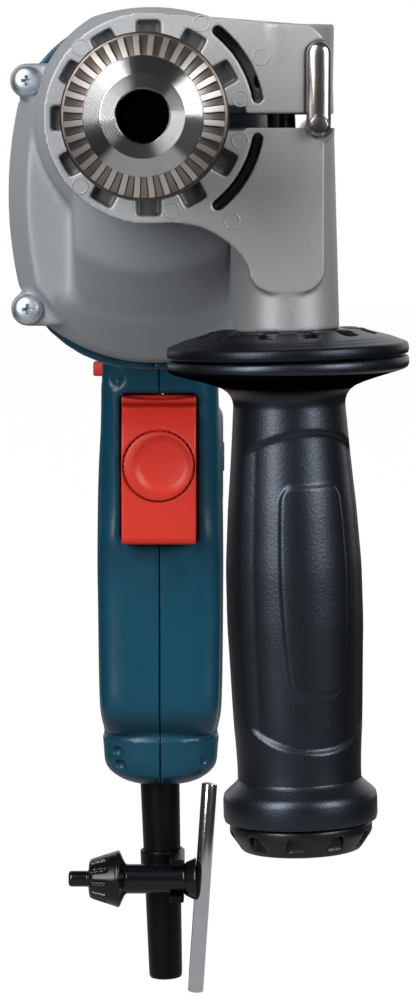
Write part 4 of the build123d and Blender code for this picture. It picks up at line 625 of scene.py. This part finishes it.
# Nylon, moulded: warm red, satin.
RED = moulded("moulded red nylon", "#d03628", "#c63126", 0.5, 0.006, 0.34, 0.44, 0.35)
# Nylon with glass, moulded with a coarse grain: black, slightly blue in the light.
BLACK = moulded("moulded black nylon, grained", "#0b0d11", "#090b0e", 0.8, 0.045, 0.33, 0.4, 0.45, "#d0e0f6")
# The same nylon on the grip, dull under its flange.
BLACK_GRIP = moulded("moulded black nylon, grained grip", "#0b0d11", "#090b0e", 0.8, 0.055, 0.33, 0.4, 0.85,
                     "#d0e0f6", matt_mm=(-76.0, -70.8))
# The same nylon from a smoother mould.
BLACK_CAP = moulded("moulded black nylon, smooth", "#0d0f12", "#0a0c0f", 0.5, 0.012, 0.3, 0.4)
# Polyamide, moulded: black and dull, for the fan and the switch.
FAN_BLACK = moulded("moulded black polyamide", "#202225", "#191b1e", 0.5, 0.01, 0.4, 0.5)
# Carbon, pressed: grey black, dry and dull.
CARBON = moulded("pressed carbon", "#26262a", "#1c1c1f", 0.3, 0.02, 0.6, 0.75, 0.3)
# Rubber, moulded: black with a soft sheen.
RUBBER = moulded("moulded black rubber", "#06070a", "#040507", 0.5, 0.008, 0.3, 0.4, 0.18)
# Nylon with glass, moulded: paler and greyer teal.
LOCK_TEAL = moulded("moulded teal nylon, greyed", "#39596a", "#445f6c", 0.5, 0.006, 0.42, 0.55)


# Chuck

def chuck():
    """Body with its jaw channels and key holes, and the sleeve with its bevel teeth."""
    body = spun("chuck_body_turned", "Y", [
        (7.0, 24.0), (7.0, 0.6), (7.45, 0.0), (7.6, 0.0), (11.05, 0.0), (11.2, 0.0), (11.32, 0.05),
        (11.42, 0.18), (11.55, 0.288), (15.55, 3.625), (15.7, 3.75), (15.95, 4.05), (16.0, 4.5), (16.0, 22.0),
        (11.0, 22.0), (11.0, 31.0), (18.0, 31.0), (18.0, 38.0), (19.6, 38.0), (20.0, 38.4), (20.0, 57.8),
        (19.6, 58.6), (18.2, 60.0), (6.4, 60.0), (6.4, 32.6), (3.1, 32.6), (3.1, 27.6), (5.1, 27.6),
        (5.1, 24.0), (7.0, 24.0),
    ], 128)
    channel = rod("jaw_channel", "Y", 3.9, -8, 40, 32)
    turned_to(channel, (3.3, 0, 0), (0, 0, -15))
    turned_to(channel, turn=(0, -42, 0))
    carved(body, ringed(channel, "Y", JAWS), crossing=True)
    hole = rod("key_hole", "X", 2.8, 12, 32, 24)
    turned_to(hole, (0, 7.25, 0))
    turned_to(hole, turn=(0, -102, 0))
    carved(body, ringed(hole, "Y", JAWS))
    settled(shaded(body), CHUCK_STEEL, "spindle", "turned_steel", "chuck_body")

    sleeve = spun("chuck_sleeve_toothed", "Y", [
        (16.05, 10.5), (21.4, 14.38), (21.6, 14.6), (21.6, 17.2), (21.0, 17.4), (21.0, 18.3), (22.2, 18.6),
        (22.6, 19.2), (22.6, 36.4), (22.3, 37.2), (21.6, 37.5), (18.2, 37.5), (18.2, 22.0), (16.05, 22.0),
        (16.05, 10.5),
    ], 192)
    tooth_r, tooth_y, cone_angle = 18.8, 12.6, 36
    gap = drawn("tooth_gap", [(15.2, -1.12), (24.6, -1.95), (24.6, 1.95), (15.2, 1.12)], -1.5, 1.5)
    open_for_edit(gap)
    pick("VERT", lambda v: v.y > 0)
    bpy.ops.transform.resize(value=(1, 1, 0.5), center_override=(0, 0, 0))
    bpy.ops.mesh.select_all(action="SELECT")
    bpy.ops.transform.translate(value=(-tooth_r * MM, 0, 0))
    bpy.ops.object.mode_set(mode="OBJECT")
    turned_to(gap, (tooth_r, tooth_y, 0), (0, 0, cone_angle))
    carved(sleeve, ringed(gap, "Y", SLEEVE_TEETH))
    settled(bevelled(sleeve, 0.12, 1), TOOTHED_STEEL, "chuck_sleeve", "turned_steel", "chuck_sleeve")


# Gear housing

def gear_case():
    """Grey casting with a sloping chin, and its four cross-head screws."""
    case = copied("gear_housing", "gear_housing_cast")
    chin = spun("chin_slope", "Y", [
        (50, 100), (80, 100), (80, 137.1), (74, 131.6), (50, 109.6), (50, 100)], 128)
    width = boxed("chin_width", (-52, 95, -90), (52, 140, -30))
    tapered(width, lambda v: v.y > 120, (0.14, 1, 1))
    carved(chin, width, operation="INTERSECT")
    softened(carved(case, chin), 0.8, 6)
    evened(case, lambda v: v.z < -22 and abs(v.x) < (22 if v.z > -48 else 27) and 98 < v.y < 132, 18)
    evened(case, lambda v: -66 < v.z < 0 and 18 < abs(v.x) < 28 and 100 < v.y < 126, 10)
    settled(case, CAST_GREY, "drill", "cast_grey", "gear_housing")

    screw = spun("case_screw", "Y", [
        (0, 118.8), (2.3, 118.9), (3.3, 119.3), (4.0, 120.0), (4.35, 120.8), (4.5, 121.5), (4.5, 122.0),
        (2.5, 122.0), (2.5, 149.4), (2.0, 150.0), (0, 150.0),
    ], 48)
    recess = boxed("cross_recess", (-2.7, 110, -0.66), (2.7, 121.4, 0.66))
    tapered(recess, lambda v: v.y > 115, (0.45, 1, 0.7))
    shaded(carved(screw, ringed(recess, "Y", 4), crossing=True))
    screws = [turned_to(doubled(screw, "case_screw"), (x, 0, z)) for x, z in CASE_SCREWS]
    bpy.data.meshes.remove(screw.data)
    screws[0].name = "gear_housing_screws_zinc"
    settled(joined(*screws), ZINC, "drill", "zinc_steel", "gear_housing_screws")


# Motor housing with the grip

def barrel_skin(wall):
    """Barrel round the motor, set in by the wall, with a rounded rear end."""
    # Each key: place along Y, width, height, middle in Z
    keys = [(CASE_END, 84, 105.5, -21.25), (165, 84, 105.5, -21.25), (188, 82, 101.8, -20.75),
            (211.5, 77, 93.75, -19.6), (235, 72, 85.7, -18.5), (258, 70, 82, -18)]
    sections = [((0, -z, y), wide - 2 * wall, high - 2 * wall, BARREL_CORNER - wall)
                for y, wide, high, z in eased(keys, 3)]
    dome_y, dome_wide, dome_high, dome_z = keys[-1]
    dome_depth, dome_turn, dome_steps = 22, 80, 8
    for k in range(1, dome_steps + 1):
        angle = radians(dome_turn * k / dome_steps)
        inward = 2 * wall + 2 * dome_depth * (1 - cos(angle))
        y = dome_y + (dome_depth - wall) * sin(angle) / sin(radians(dome_turn))
        sections.append(((0, -dome_z, y), dome_wide - inward, dome_high - inward, 0))
    if wall:
        # The hollow is open towards the gear housing
        sections[0] = ((0, -keys[0][3], CASE_END - 4.0),) + sections[0][1:]
    return turned_to(lofted("barrel", sections, 10), turn=(-90, 0, 0))


def grip_skin(name, keys, wall, corner_share, wall_share, segments):
    """Part of the grip, set in by the wall. Each key: height, front and back along Y, half width."""
    sections = []
    for z, front, back, half in keys:
        corner = corner_share * half - wall_share * wall
        middle = (0, (front + back) / 2, z)
        sections.append((middle, 2 * half - 2 * wall, back - front - 2 * wall, corner))
    return lofted(name, sections, segments)


def grip_solid(wall):
    """Round grip with a squarer front, whose pad swells for the fingers, set in by the wall."""
    round_keys = [(-58, 201, 268, 18.8), (-86, 202, 265, 18.6), (-113, 204.5, 261, 19.9),
                  (-139, 204.6, 259.5, 20.3), (-155, 208, 260.4, 20.25), (-170.5, 209.5, 261, 20.15),
                  (-186, 210.5, 262.4, 19.9), (-192.5, 212.4, 262.8, 19.4), (-197, 214.9, 263, 18.4),
                  (-208, 215.6, 262, 17.6)]
    square_keys = [(-58, 201, 268, 18.8), (-86, 202, 265, 18.6), (-104, 203.8, 262, 19.0),
                   (-122, 204.6, 256, 19.1), (-134, 204.1, 250, 19.3), (-146, 206.8, 246, 19.5),
                   (-160, 207.5, 246, 19.4), (-175, 207.5, 246, 19.2), (-184, 207.1, 246, 19.0),
                   (-188, 207.5, 246, 18.8), (-191, 209, 245, 18.5), (-194.5, 212.2, 244, 17.8),
                   (-197, 215.2, 243, 17.0)]
    end_keys = [(-210.5, 215.6, 261, 15.8), (-212.6, 217.8, 258.6, 13.4), (-214, 221.2, 255, 10.2),
                (GRIP_END, 224, 252.5, 7.6)]
    keys = eased(round_keys, 4) + ([] if wall else end_keys)
    rounder = grip_skin("grip", keys, wall, 0.9, 1.0, 10)
    return fused(rounder, grip_skin("grip_neck", eased(square_keys, 4), wall, 0.4, 0.5, 8))


def housing():
    """Hollow barrel and grip in one piece, with all openings, before the seam parts it."""
    barrel = barrel_skin(0.0)
    barrel_hollow = barrel_skin(BARREL_WALL)
    grip = grip_solid(0.0)
    grip_hollow = grip_solid(GRIP_WALL)
    outer = fused(barrel, grip)
    boss = spun("lock_boss", "X", [(0, 14), (8.5, 14), (8.5, 19.8), (8.0, 20.3), (0, 20.3)], 48)
    fused(outer, turned_to(flattened(boss, (1, 1, 1.76)), LOCK))
    for x, z in CASE_SCREWS:
        ear = spun("screw_ear", "Y", [
            (0, CASE_END), (5.0, CASE_END), (5.0, 149), (4.4, 151.4), (2.5, 152.8), (0, 153.2)], 32)
        fused(outer, turned_to(ear, (x, 0, z)))
    floor = boxed("grip_floor", (-30, 190, -220), (30, 280, -209.5))
    shell = carved(outer, carved(fused(barrel_hollow, grip_hollow), floor))

    half = TRIGGER_HALF + TRIGGER_GAP
    opening = boxed("trigger_opening", (-half, 150, TRIGGER_LOW - TRIGGER_GAP),
                    (half, 230, TRIGGER_TOP + TRIGGER_GAP))
    slot = boxed("lever_slot", (-60, 207.5, -81.1), (60, 214.5, -75.1))
    dimple = spun("dimple", "Y", [(0, 190), (2.6, 190), (2.3, 202.9), (1.3, 204), (0, 204.2)], 24)
    turned_to(dimple, (-13.7, 0, -81.2))
    cuts = [opening, slot, dimple]
    cuts.append(turned_to(rod("lock_hole", "X", 5.1, 10, 40, 32), LOCK))
    cuts.append(on_boot(rod("boot_hole", "Z", 6.5, -9, 9, 32)))
    for y, z, seat in ((159, 18.5, 22), (254, 11, 22), (165, -61, 22), (250, -141.2, 12), (248, -192.5, 12)):
        cuts.append(turned_to(rod("screw_well", "X", 3.7, seat, 60, 24), (0, y, z)))
    # Each row of vents: number of slots, the first one's place along Y, pitch, inner end, low and high edge
    rows = {"rear_vent": (5, 235, -7, 21, -8, 4), "fan_vent": (2, 143, 7, 30, -34, -10)}
    for name, (count, start, pitch, inner, low, high) in rows.items():
        for k in range(count):
            y = start + pitch * k
            for side in (-1, 1):
                x0, x1 = sorted((side * inner, side * 60))
                cuts.append(boxed(name, (x0, y, low), (x1, y + VENT_WIDTH, high)))
    return softened(carved(shell, joined(*cuts), crossing=True), 1.0, 8)


def housing_halves(shell):
    """Adds the proud lip and the dips of the foot to the shell and parts it at the seam."""
    open_for_edit(shell)
    for z in (-197.3, -198.1, -198.9):
        bpy.ops.mesh.select_all(action="SELECT")
        bpy.ops.mesh.bisect(plane_co=(0, 0, z * MM), plane_no=(0, 0, 1))
    bpy.ops.object.mode_set(mode="OBJECT")
    pressed(shell, -1.2, lambda v: ramp(v.z, -197.2, -198.9) * ramp(v.z, -212, -206) * ramp(v.y, 234, 222))
    dip_turns = [radians(a) for a in range(-90, 91, 15)]
    for x, z in ((-14.2, -202.8), (-13.2, -207.2), (15.2, -206.0)):
        dip = spun("foot_dip", "Z", [(2.5 * cos(a), 2.1 * sin(a)) for a in dip_turns], 24)
        carved(shell, turned_to(dip, (x, 217.0, z)))
    for side, hand in ((-1, "left"), (1, "right")):
        half = doubled(shell, "housing_%s_moulded" % hand)
        seam = (side * SEAM_HALF * MM, 0, 0)
        open_for_edit(half)
        bpy.ops.mesh.select_all(action="SELECT")
        bpy.ops.mesh.bisect(plane_co=(side * SEAM_REACH * MM, 0, 0), plane_no=(side, 0, 0))
        bpy.ops.mesh.select_all(action="SELECT")
        bpy.ops.mesh.bisect(plane_co=seam, plane_no=(side, 0, 0), use_fill=True, clear_inner=True)
        pick("VERT", lambda v: abs(v.x) < 0.04)
        bpy.ops.transform.shrink_fatten(value=-SEAM_DEPTH * MM)
        pick("VERT", lambda v: abs(v.x) < 0.2)
        bpy.ops.transform.resize(value=(0, 1, 1), center_override=seam)
        bpy.ops.object.mode_set(mode="OBJECT")
        settled(shaded(half, 40), TEAL, "drill", "teal_plastic", "housing_" + hand)
    bpy.data.meshes.remove(shell.data)


# Trigger and buttons

def trigger_group():
    """Trigger with its lip and dial pocket, the reversing lever and the lock button."""
    side = [(TRIGGER_BACK, TRIGGER_LOW), (196.8, TRIGGER_LOW), (195.7, -132.8), (TRIGGER_FRONT, -131.4),
            (TRIGGER_FRONT, -105), (195.3, -102.4), (196.2, -99), (197.6, -95.4), (199.2, -92.6),
            (200.5, -91), (200.9, -90), (200.5, -89.3), (198.9, -88.9), (197.4, -88.6), (196.5, -88),
            (196.2, -87.2), (196.4, TRIGGER_TOP), (TRIGGER_BACK, TRIGGER_TOP)]
    body = turned_to(drawn("trigger_moulded", side, -TRIGGER_HALF, TRIGGER_HALF), turn=(0, 0, 90))
    carved(body, turned_to(rod("lip_curve", "Y", 70, 180, 206, 180), (0, 0, -17.3)))
    open_for_edit(body)
    pick("EDGE", lambda v: abs(v.x) > TRIGGER_HALF - 0.1 and v.z < TRIGGER_LOW + 0.1)
    bpy.ops.mesh.bevel(offset=2.4 * MM, segments=5)
    bpy.ops.object.mode_set(mode="OBJECT")
    pocket = spun("dial_pocket", "Y", [
        (0, 190), (11.32, 190), (11.32, 198), (2.05, 198), (2.05, 203.5), (0, 203.5)], 64)
    carved(body, turned_to(pocket, (0, 0, DIAL_Z)))
    stem = spun("trigger_stem", "Y", [(0, 208), (3, 208), (3, 228.6), (2.6, 229), (0, 229)], 32)
    fused(body, turned_to(stem, (0, 0, (TRIGGER_TOP + TRIGGER_LOW) / 2)))
    settled(softened(body, 0.4, 3), RED, "trigger", "red_plastic", "trigger")

    lever = boxed("reverse_lever_moulded", (-21.1, 208.2, -80.4), (16.4, 213.8, -75.8))
    bevelled(lever, 0.7, 3)
    grooves = []
    for k in range(3):
        y = 209.4 + 1.4 * k
        grooves.append(boxed("lever_groove", (-22, y, -82), (-20.7, y + 0.4, -70)))
    carved(lever, joined(*grooves))
    settled(shaded(lever), RED, "reverse_lever", "red_plastic", "reverse_lever")

    button = spun("lock_button_moulded", "X", [
        (0, 15.1), (6.5, 15.1), (6.5, 17.0), (4.95, 17.0), (4.95, 19.9), (4.8, 20.4), (4.4, 20.66),
        (3.6, 20.6), (2.0, 20.2), (0, 20.1)], 64)
    turned_to(button, LOCK)
    settled(shaded(button, 40), LOCK_TEAL, "lock_button", "teal_plastic", "lock_button")


def speed_wheel():
    """Dial in the trigger: a serrated rim round a finger dish that lies a little off its middle."""
    dial = spun("speed_dial_moulded", "Y", [
        (0, 193.5), (10.2, 193.5), (10.75, 193.7), (11.05, 194.1), (11.15, 194.6), (11.15, 197.9),
        (2.0, 197.9), (2.0, 198.7), (0, 198.7)], 120)
    notch = rod("serration", "Y", 0.42, 190, 199, 10)
    ringed(turned_to(notch, (11.25, 0, 0)), "Y", DIAL_SERRATIONS)
    dish = spun("dish", "Y", [
        (0, 190), (9.3, 190), (9.3, 193.5), (9.0, 193.7), (7.6, 194.5), (6.9, 194.7), (0, 194.75)], 64)
    carved(dial, notch, turned_to(dish, (1.4, 0, 0.6)))
    turned_to(dial, (0, 0, DIAL_Z))
    settled(bevelled(dial, 0.1, 1), RED, "speed_dial", "red_plastic", "speed_dial")


# Strain relief and chuck key

def boot_and_key():
    """Strain relief, the key's holder on it, and the chuck key with its cross bar."""
    boot = spun("strain_relief_moulded", "Z", [
        (3.6, 9), (3.6, -65.4), (3.9, -66), (4.4, -66), (5.0, -65.8), (5.35, -65.2), (5.45, -64.2),
        (5.55, -58), (6.2, -16), (6.42, -2), (6.45, 5.02), (9.0, 5.02), (9.0, 9), (3.6, 9)], 64)
    settled(shaded(on_boot(boot), 45), RUBBER, "drill", "boot_rubber", "strain_relief")
    holder = softened(copied("key_holder", "key_holder_moulded"), 0.3, 6)
    turned_to(holder, (0, 0, KEY_LOWER))
    settled(holder, RUBBER, "drill", "boot_rubber", "key_holder")

    key = spun("chuck_key_forged", "X", [
        (0, -29.9), (1.9, -29.9), (2.4, -29.6), (2.6, -29.0), (2.6, -23.4), (4.6, -23.3), (5.9, -23.0),
        (6.5, -22.3), (9.0, -14.6), (9.3, -13.9), (9.1, -13.3), (8.4, -13.0), (5.3, -11.6), (4.8, -11.0),
        (4.8, 7.6), (5.0, 8.0), (5.4, 8.2), (6.9, 11.2), (6.9, 11.5), (6.5, 11.6), (0, 11.6)], 72)
    gap = boxed("key_tooth_gap", (-5, -0.9, 0.0), (3.4, 0.9, 5.0))
    tapered(gap, lambda v: v.z < 1, (1, 0.5, 1))
    turned_to(gap, (-20.4, 0, 6.4), (0, -18, 0))
    carved(key, ringed(gap, "X", KEY_TEETH))
    turned_to(key, (0, KEY_Y, KEY_Z + KEY_LOWER))
    carved(key, on_key_bar(rod("bar_groove", "Z", 2.56, -40, 40, 32)))
    softened(key, 0.28, 2)
    settled(key, BLACK_OXIDE, "chuck_key", "black_oxide_steel", "chuck_key_body")
    bar = spun("key_cross_bar_drawn", "Z", [
        (0, -34.3), (2.2, -34.3), (2.45, -34.15), (2.53, -33.9), (2.53, 33.9), (2.45, 34.15), (2.2, 34.3),
        (0, 34.3)], 48)
    settled(shaded(on_key_bar(bar)), BRIGHT_ROD, "chuck_key", "bright_rod", "key_cross_bar")


# Side handle

def side_clamp():
    """Cast clamp with the marks of the mould's ejector pins, and the depth stop in it."""
    clamp = softened(copied("side_handle_clamp", "side_handle_clamp_cast"), 0.55, 3)
    marks = []
    for x, z in ((14.7, 26.3), (31.3, 17.0), (25.7, 5.5), (25.6, -6.2), (23.3, -28.7), (-19.2, -18.9),
                 (-18.9, 19.6), (6.4, -25.6)):
        mark = spun("ejector_mark", "Y", [
            (1.9, 66.4), (1.95, 65.95), (2.1, 65.84), (2.3, 65.84), (2.45, 65.95), (2.5, 66.4),
            (1.9, 66.4)], 28)
        marks.append(turned_to(mark, (x, 0, z)))
    joined(clamp, *marks)
    settled(shaded(clamp, 60), CAST_CLAMP, "side_handle", "cast_clamp", "side_handle_clamp")

    stop = spun("depth_stop_rod_drawn", "Y", [
        (0, 62.0), (2.35, 62.0), (2.45, 62.05), (2.9, 62.5), (3.0, 62.8), (3.0, 211.2), (2.5, 212.0),
        (0, 212.0)], 48)
    turned_to(stop, (ROD_X, 0, ROD_Z))
    leg_r, leg_low, leg_high = 3.45, -1.6, 17.8
    lower = [(0, leg_low - leg_r)] + arc(leg_r, leg_low, -80, 10, 10)
    upper = arc(leg_r, leg_high, 0, 90, 10) + [(0, leg_high + leg_r)]
    leg = flattened(spun("stop_leg", "Z", lower + upper, 48), (1, 0.53, 1))
    fused(stop, turned_to(leg, (ROD_X, 65.25, 0)))
    settled(shaded(stop), DULL_ROD, "depth_stop", "bright_rod", "depth_stop_rod")


def clamp_bolt():
    """Threaded bolt with a hexagon head."""
    thread = [(0, -106.0), (3.3, -106.0)]
    for k in range(THREAD_TURNS):
        z = -105.4 + THREAD_PITCH * k
        thread += [(3.4, z), (3.98, z + 0.45), (3.98, z + 0.7), (3.4, z + 1.15)]
    bolt = spun("clamp_bolt_threaded", "Z", thread + [(3.98, -9.5), (3.98, 9.5), (0, 9.5)], 32)
    head = rod("bolt_head", "Z", 7.5, 9.03, 14.31, 6)
    bevelled(turned_to(head, turn=(0, 0, 30)), 0.4, 2, 40.0)
    on_handle(shaded(joined(bolt, head), 25))
    settled(bolt, BLACK_OXIDE, "side_handle", "zinc_steel", "clamp_bolt")


def handle_disc():
    """Upper disc of the handle, with notches round its raised middle."""
    disc = spun("flange_disc_moulded", "Z", [
        (HANDLE_BORE, -67.2), (33.5, -67.2), (34.25, -67.0), (34.5, -66.5), (34.5, -64.7), (34.2, -64.0),
        (33.5, -63.6), (32.6, -63.4), (30.6, -62.5), (30.2, -62.7), (29.8, -62.2), (24.2, -60.7),
        (22.6, -60.2), (22.1, -59.9), (21.6, -59.72), (HANDLE_BORE, -59.72), (HANDLE_BORE, -67.2)], 96)
    notch = boxed("disc_notch", (16.5, -2.3, -62.2), (25.5, 2.3, -55))
    turned_to(notch, turn=(0, 0, 15))
    carved(disc, ringed(notch, "Z", DISC_NOTCHES))
    on_handle(softened(disc, 0.5, 3))
    settled(disc, BLACK, "flange_disc", "black_plastic", "flange_disc")


def panel_angle(v):
    """Angle from the middle of the nearer of the grip's two panels, front and back."""
    return (degrees(atan2(v.x, -v.y)) - PANEL_TURN + 90.0) % 180.0 - 90.0


def panel_recess(v):
    """Share of the sunk panel on the grip, with bowed ends."""
    a = panel_angle(v)
    top = -88.3 - 3.4 * (a / 55.0) ** 2
    low = -178.9 + 5.2 * (a / 60.0) ** 2
    across = ramp(abs(a), 72.0, 58.5)
    return across * ramp(v.z, top + 0.6, top - 0.6) * ramp(v.z, low - 0.7, low + 0.6)


def panel_pad(v):
    """Share of the raised pad in the panel, widest above its middle and with rounded corners."""
    a = panel_angle(v)
    along = (v.z + 134.0) / 30.0
    half = 34.5 - 4.0 * along ** 2 + 3.0 * along - 3.0
    edge = (max(0.0, abs(a) - half + 9.0) / 9.0) ** 2 * 3.0
    top = -103.4 - edge
    low = -163.4 + 0.8 * (a / 30.0) ** 2 + edge
    across = ramp(abs(a), half + 1.8, half - 1.8)
    return across * ramp(v.z, top + 0.6, top - 0.7) * ramp(v.z, low - 0.7, low + 0.6)


def handle_grip():
    """Grip of the side handle with its flange, panels and end ring, and the notched cap in its end."""
    grip_top, grip_low, hollow_r = -67.55, -200.85, 9.5
    flange = [(33.5, grip_top), (34.25, -67.75), (34.5, -68.3), (34.5, -70.1), (34.2, -70.9), (33.2, -71.5),
              (31.5, -72.0), (26.0, -73.5), (21.9, -74.75), (19.0, -75.9), (17.5, -77.0), (16.5, -78.5),
              (16.1, -79.8)]
    belly = [(16.0, -81.2), (16.75, -91.4), (17.6, -101.6), (18.35, -110), (18.9, -118.4), (19.4, -127),
             (19.5, -135), (19.5, -144), (19.2, -152.5), (18.6, -169.8), (18.1, -178), (17.8, -184.4),
             (17.8, -188.6)]
    ring = [(18.3, -189.4), (21.2, -191.9), (21.9, -192.6), (22.2, -193.6), (22.2, -199.6), (21.9, -200.5),
            (21.2, grip_low)]
    bore = [(hollow_r, grip_low), (hollow_r, -106), (HANDLE_BORE, -104), (HANDLE_BORE, grip_top)]
    profile = [(HANDLE_BORE, grip_top)] + flange + eased(belly, 20) + ring + bore
    grip = spun("side_grip_moulded", "Z", profile, 240)
    pressed(grip, 1.0, panel_recess)
    pressed(grip, -0.65, panel_pad)
    modified(grip, "SMOOTH", factor=0.5, iterations=2)
    on_handle(shaded(grip, 75))
    settled(grip, BLACK_GRIP, "side_grip", "black_plastic", "side_grip")

    cap = spun("side_grip_cap_moulded", "Z", [
        (0, -209.15), (16.2, -209.15), (17.0, -208.9), (17.5, -208.3), (20.2, -204.4), (20.5, -203.6),
        (20.5, -201.6), (20.2, -201.0), (19.8, -200.87), (9.48, -200.87), (9.48, -192.9), (0, -192.9)], 96)
    notch = boxed("cap_notch", (17.6, -2.9, -207.4), (24, 2.9, -203.0))
    tapered(notch, lambda v: v.z > -205, (1, 0.62, 1))
    turned_to(notch, turn=(0, 0, 12))
    carved(cap, ringed(notch, "Z", CAP_NOTCHES))
    on_handle(softened(cap, 0.4, 2))
    settled(cap, BLACK_CAP, "side_grip", "black_plastic", "side_grip_cap")


# Light, floor and camera

WHITE = (1.0, 1.0, 1.0, 1.0)
FLOOR_GREY = (0.16, 0.16, 0.16, 1.0)
FLOOR_GLOW = 1.15
FLOOR_SHARE = 0.86
ROOM_LIGHT = 0.08
MIDDLE = (0.02, 0.1, -0.08)


def rays(tree):
    """Light path, and 1 for the rays that come by way of metal or glass."""
    path = add(tree, "ShaderNodeLightPath")
    mirrored = add(tree, "ShaderNodeMath", {0: (path, "Is Glossy Ray"), 1: (path, "Is Transmission Ray")},
                   operation="MAXIMUM")
    return path, mirrored


def backdrop():
    """White backdrop behind the drill and a dim room before it."""
    world = bpy.data.worlds.new("soft studio")
    bpy.context.scene.world = world
    world.use_nodes = True
    tree = world.node_tree
    tree.nodes.clear()
    path, mirrored = rays(tree)
    way = add(tree, "ShaderNodeTexCoord")
    split = add(tree, "ShaderNodeSeparateXYZ", {"Vector": (way, "Generated")})
    room = add(tree, "ShaderNodeMapRange", {
        "Value": (split, "Y"), "From Min": 0.5, "From Max": 0.85, "To Min": 0.04, "To Max": 1.0},
        interpolation_type="SMOOTHSTEP")
    shown = add(tree, "ShaderNodeMix", {"Factor": (mirrored, "Value"), 2: ROOM_LIGHT, 3: (room, "Result")},
                data_type="FLOAT")
    seen = add(tree, "ShaderNodeMix", {"Factor": (path, "Is Camera Ray"), 2: (shown, 0), 3: 1.0},
               data_type="FLOAT")
    sky = add(tree, "ShaderNodeBackground", {"Color": WHITE, "Strength": (seen, 0)})
    add(tree, "ShaderNodeOutputWorld", {"Surface": (sky, "Background")})


def studio_floor():
    """Pale floor just under the drill that keeps its shadow. Metal mirrors it as a sheet below the drill."""
    start_fresh()
    bpy.ops.mesh.primitive_plane_add(size=12.0, location=(0, 0, cad_box[0][2] - 0.5 * MM))
    floor = bpy.context.object
    floor.name = "studio_floor"
    bpy.ops.object.transform_apply(location=True, rotation=True, scale=True)
    made, tree = blank("matt white studio floor")
    path, mirrored = rays(tree)
    paper = add(tree, "ShaderNodeBsdfDiffuse", {"Color": FLOOR_GREY, "Roughness": 0.9})
    place = add(tree, "ShaderNodeTexCoord")
    split = add(tree, "ShaderNodeSeparateXYZ", {"Vector": (place, "Object")})
    aside = add(tree, "ShaderNodeMath", {0: (split, "X")}, operation="ABSOLUTE")
    front = add(tree, "ShaderNodeMapRange", {
        "Value": (split, "Y"), "From Min": -0.3, "From Max": -0.44, "To Max": 0.4})
    beyond = add(tree, "ShaderNodeMath", {0: (aside, "Value"), 1: (front, "Result")}, operation="ADD")
    sheet = add(tree, "ShaderNodeMapRange", {
        "Value": (beyond, "Value"), "From Min": 0.24, "From Max": 0.32, "To Min": 0.4, "To Max": 0.03})
    level = add(tree, "ShaderNodeMix", {
        "Factor": (path, "Is Camera Ray"), 2: (sheet, "Result"), 3: FLOOR_GLOW}, data_type="FLOAT")
    glow = add(tree, "ShaderNodeEmission", {"Color": WHITE, "Strength": (level, 0)})
    direct = add(tree, "ShaderNodeMath", {
        0: (path, "Is Camera Ray"), 1: FLOOR_SHARE, 2: (mirrored, "Value")}, operation="MULTIPLY_ADD")
    both = add(tree, "ShaderNodeMixShader", {0: (direct, "Value"), 1: (paper, "BSDF"), 2: (glow, "Emission")})
    add(tree, "ShaderNodeOutputMaterial", {"Surface": (both, "Shader")})
    floor.data.materials.append(made)


def lamp(name, place, width, height, watts):
    """Softbox turned towards the drill's middle."""
    light = bpy.data.lights.new(name, "AREA")
    light.shape = "RECTANGLE"
    light.size = width
    light.size_y = height
    light.energy = watts
    stand = bpy.data.objects.new(name, light)
    bpy.context.scene.collection.objects.link(stand)
    stand.location = place
    stand.rotation_euler = (Vector(MIDDLE) - Vector(place)).to_track_quat("-Z", "Y").to_euler()


def camera():
    """Long lens near the spindle's line, a little to the right, looking slightly down as in the photo."""
    lens = bpy.data.cameras.new("front camera")
    lens.sensor_fit = "VERTICAL"
    lens.sensor_height = 24.0
    lens.lens = 3.8 * lens.sensor_height
    stand = bpy.data.objects.new("front camera", lens)
    bpy.context.scene.collection.objects.link(stand)
    stand.location = (0.025, -1.0, -0.010)
    stand.rotation_euler = (radians(90 - 5.2), 0, radians(0.45))
    bpy.context.scene.camera = stand


# The drill

SLOT_FINISH = {
    "turned_steel": SHAFT_STEEL, "hardened_steel": GROUND_STEEL, "bearing_steel": BEARING_STEEL,
    "zinc_steel": ZINC, "bright_rod": BRIGHT_ROD, "black_oxide_steel": BLACK_OXIDE, "bronze": BRONZE,
    "cast_grey": CAST_GREY, "cast_clamp": CAST_PLATE, "lamination": LAMINATION, "copper": COPPER,
    "carbon": CARBON, "teal_plastic": TEAL, "red_plastic": RED, "black_plastic": BLACK,
    "fan_plastic": FAN_BLACK, "seal_rubber": RUBBER, "boot_rubber": RUBBER,
}
for entry in frame["record"]["subparts"]:
    solid = nodes[entry["node"]]
    solid.data.materials.clear()
    solid.data.materials.append(SLOT_FINISH[entry["material_slot"]])

chuck()
gear_case()
housing_halves(housing())
trigger_group()
speed_wheel()
boot_and_key()
side_clamp()
clamp_bolt()
handle_disc()
handle_grip()

backdrop()
studio_floor()
camera()
lamp("softbox left", (-0.57, -0.72, 0.42), 0.42, 1.1, 16.0)
lamp("softbox right", (0.8, -0.6, 0.33), 0.42, 0.66, 8.6)
bpy.context.scene.view_settings.view_transform = "Standard"
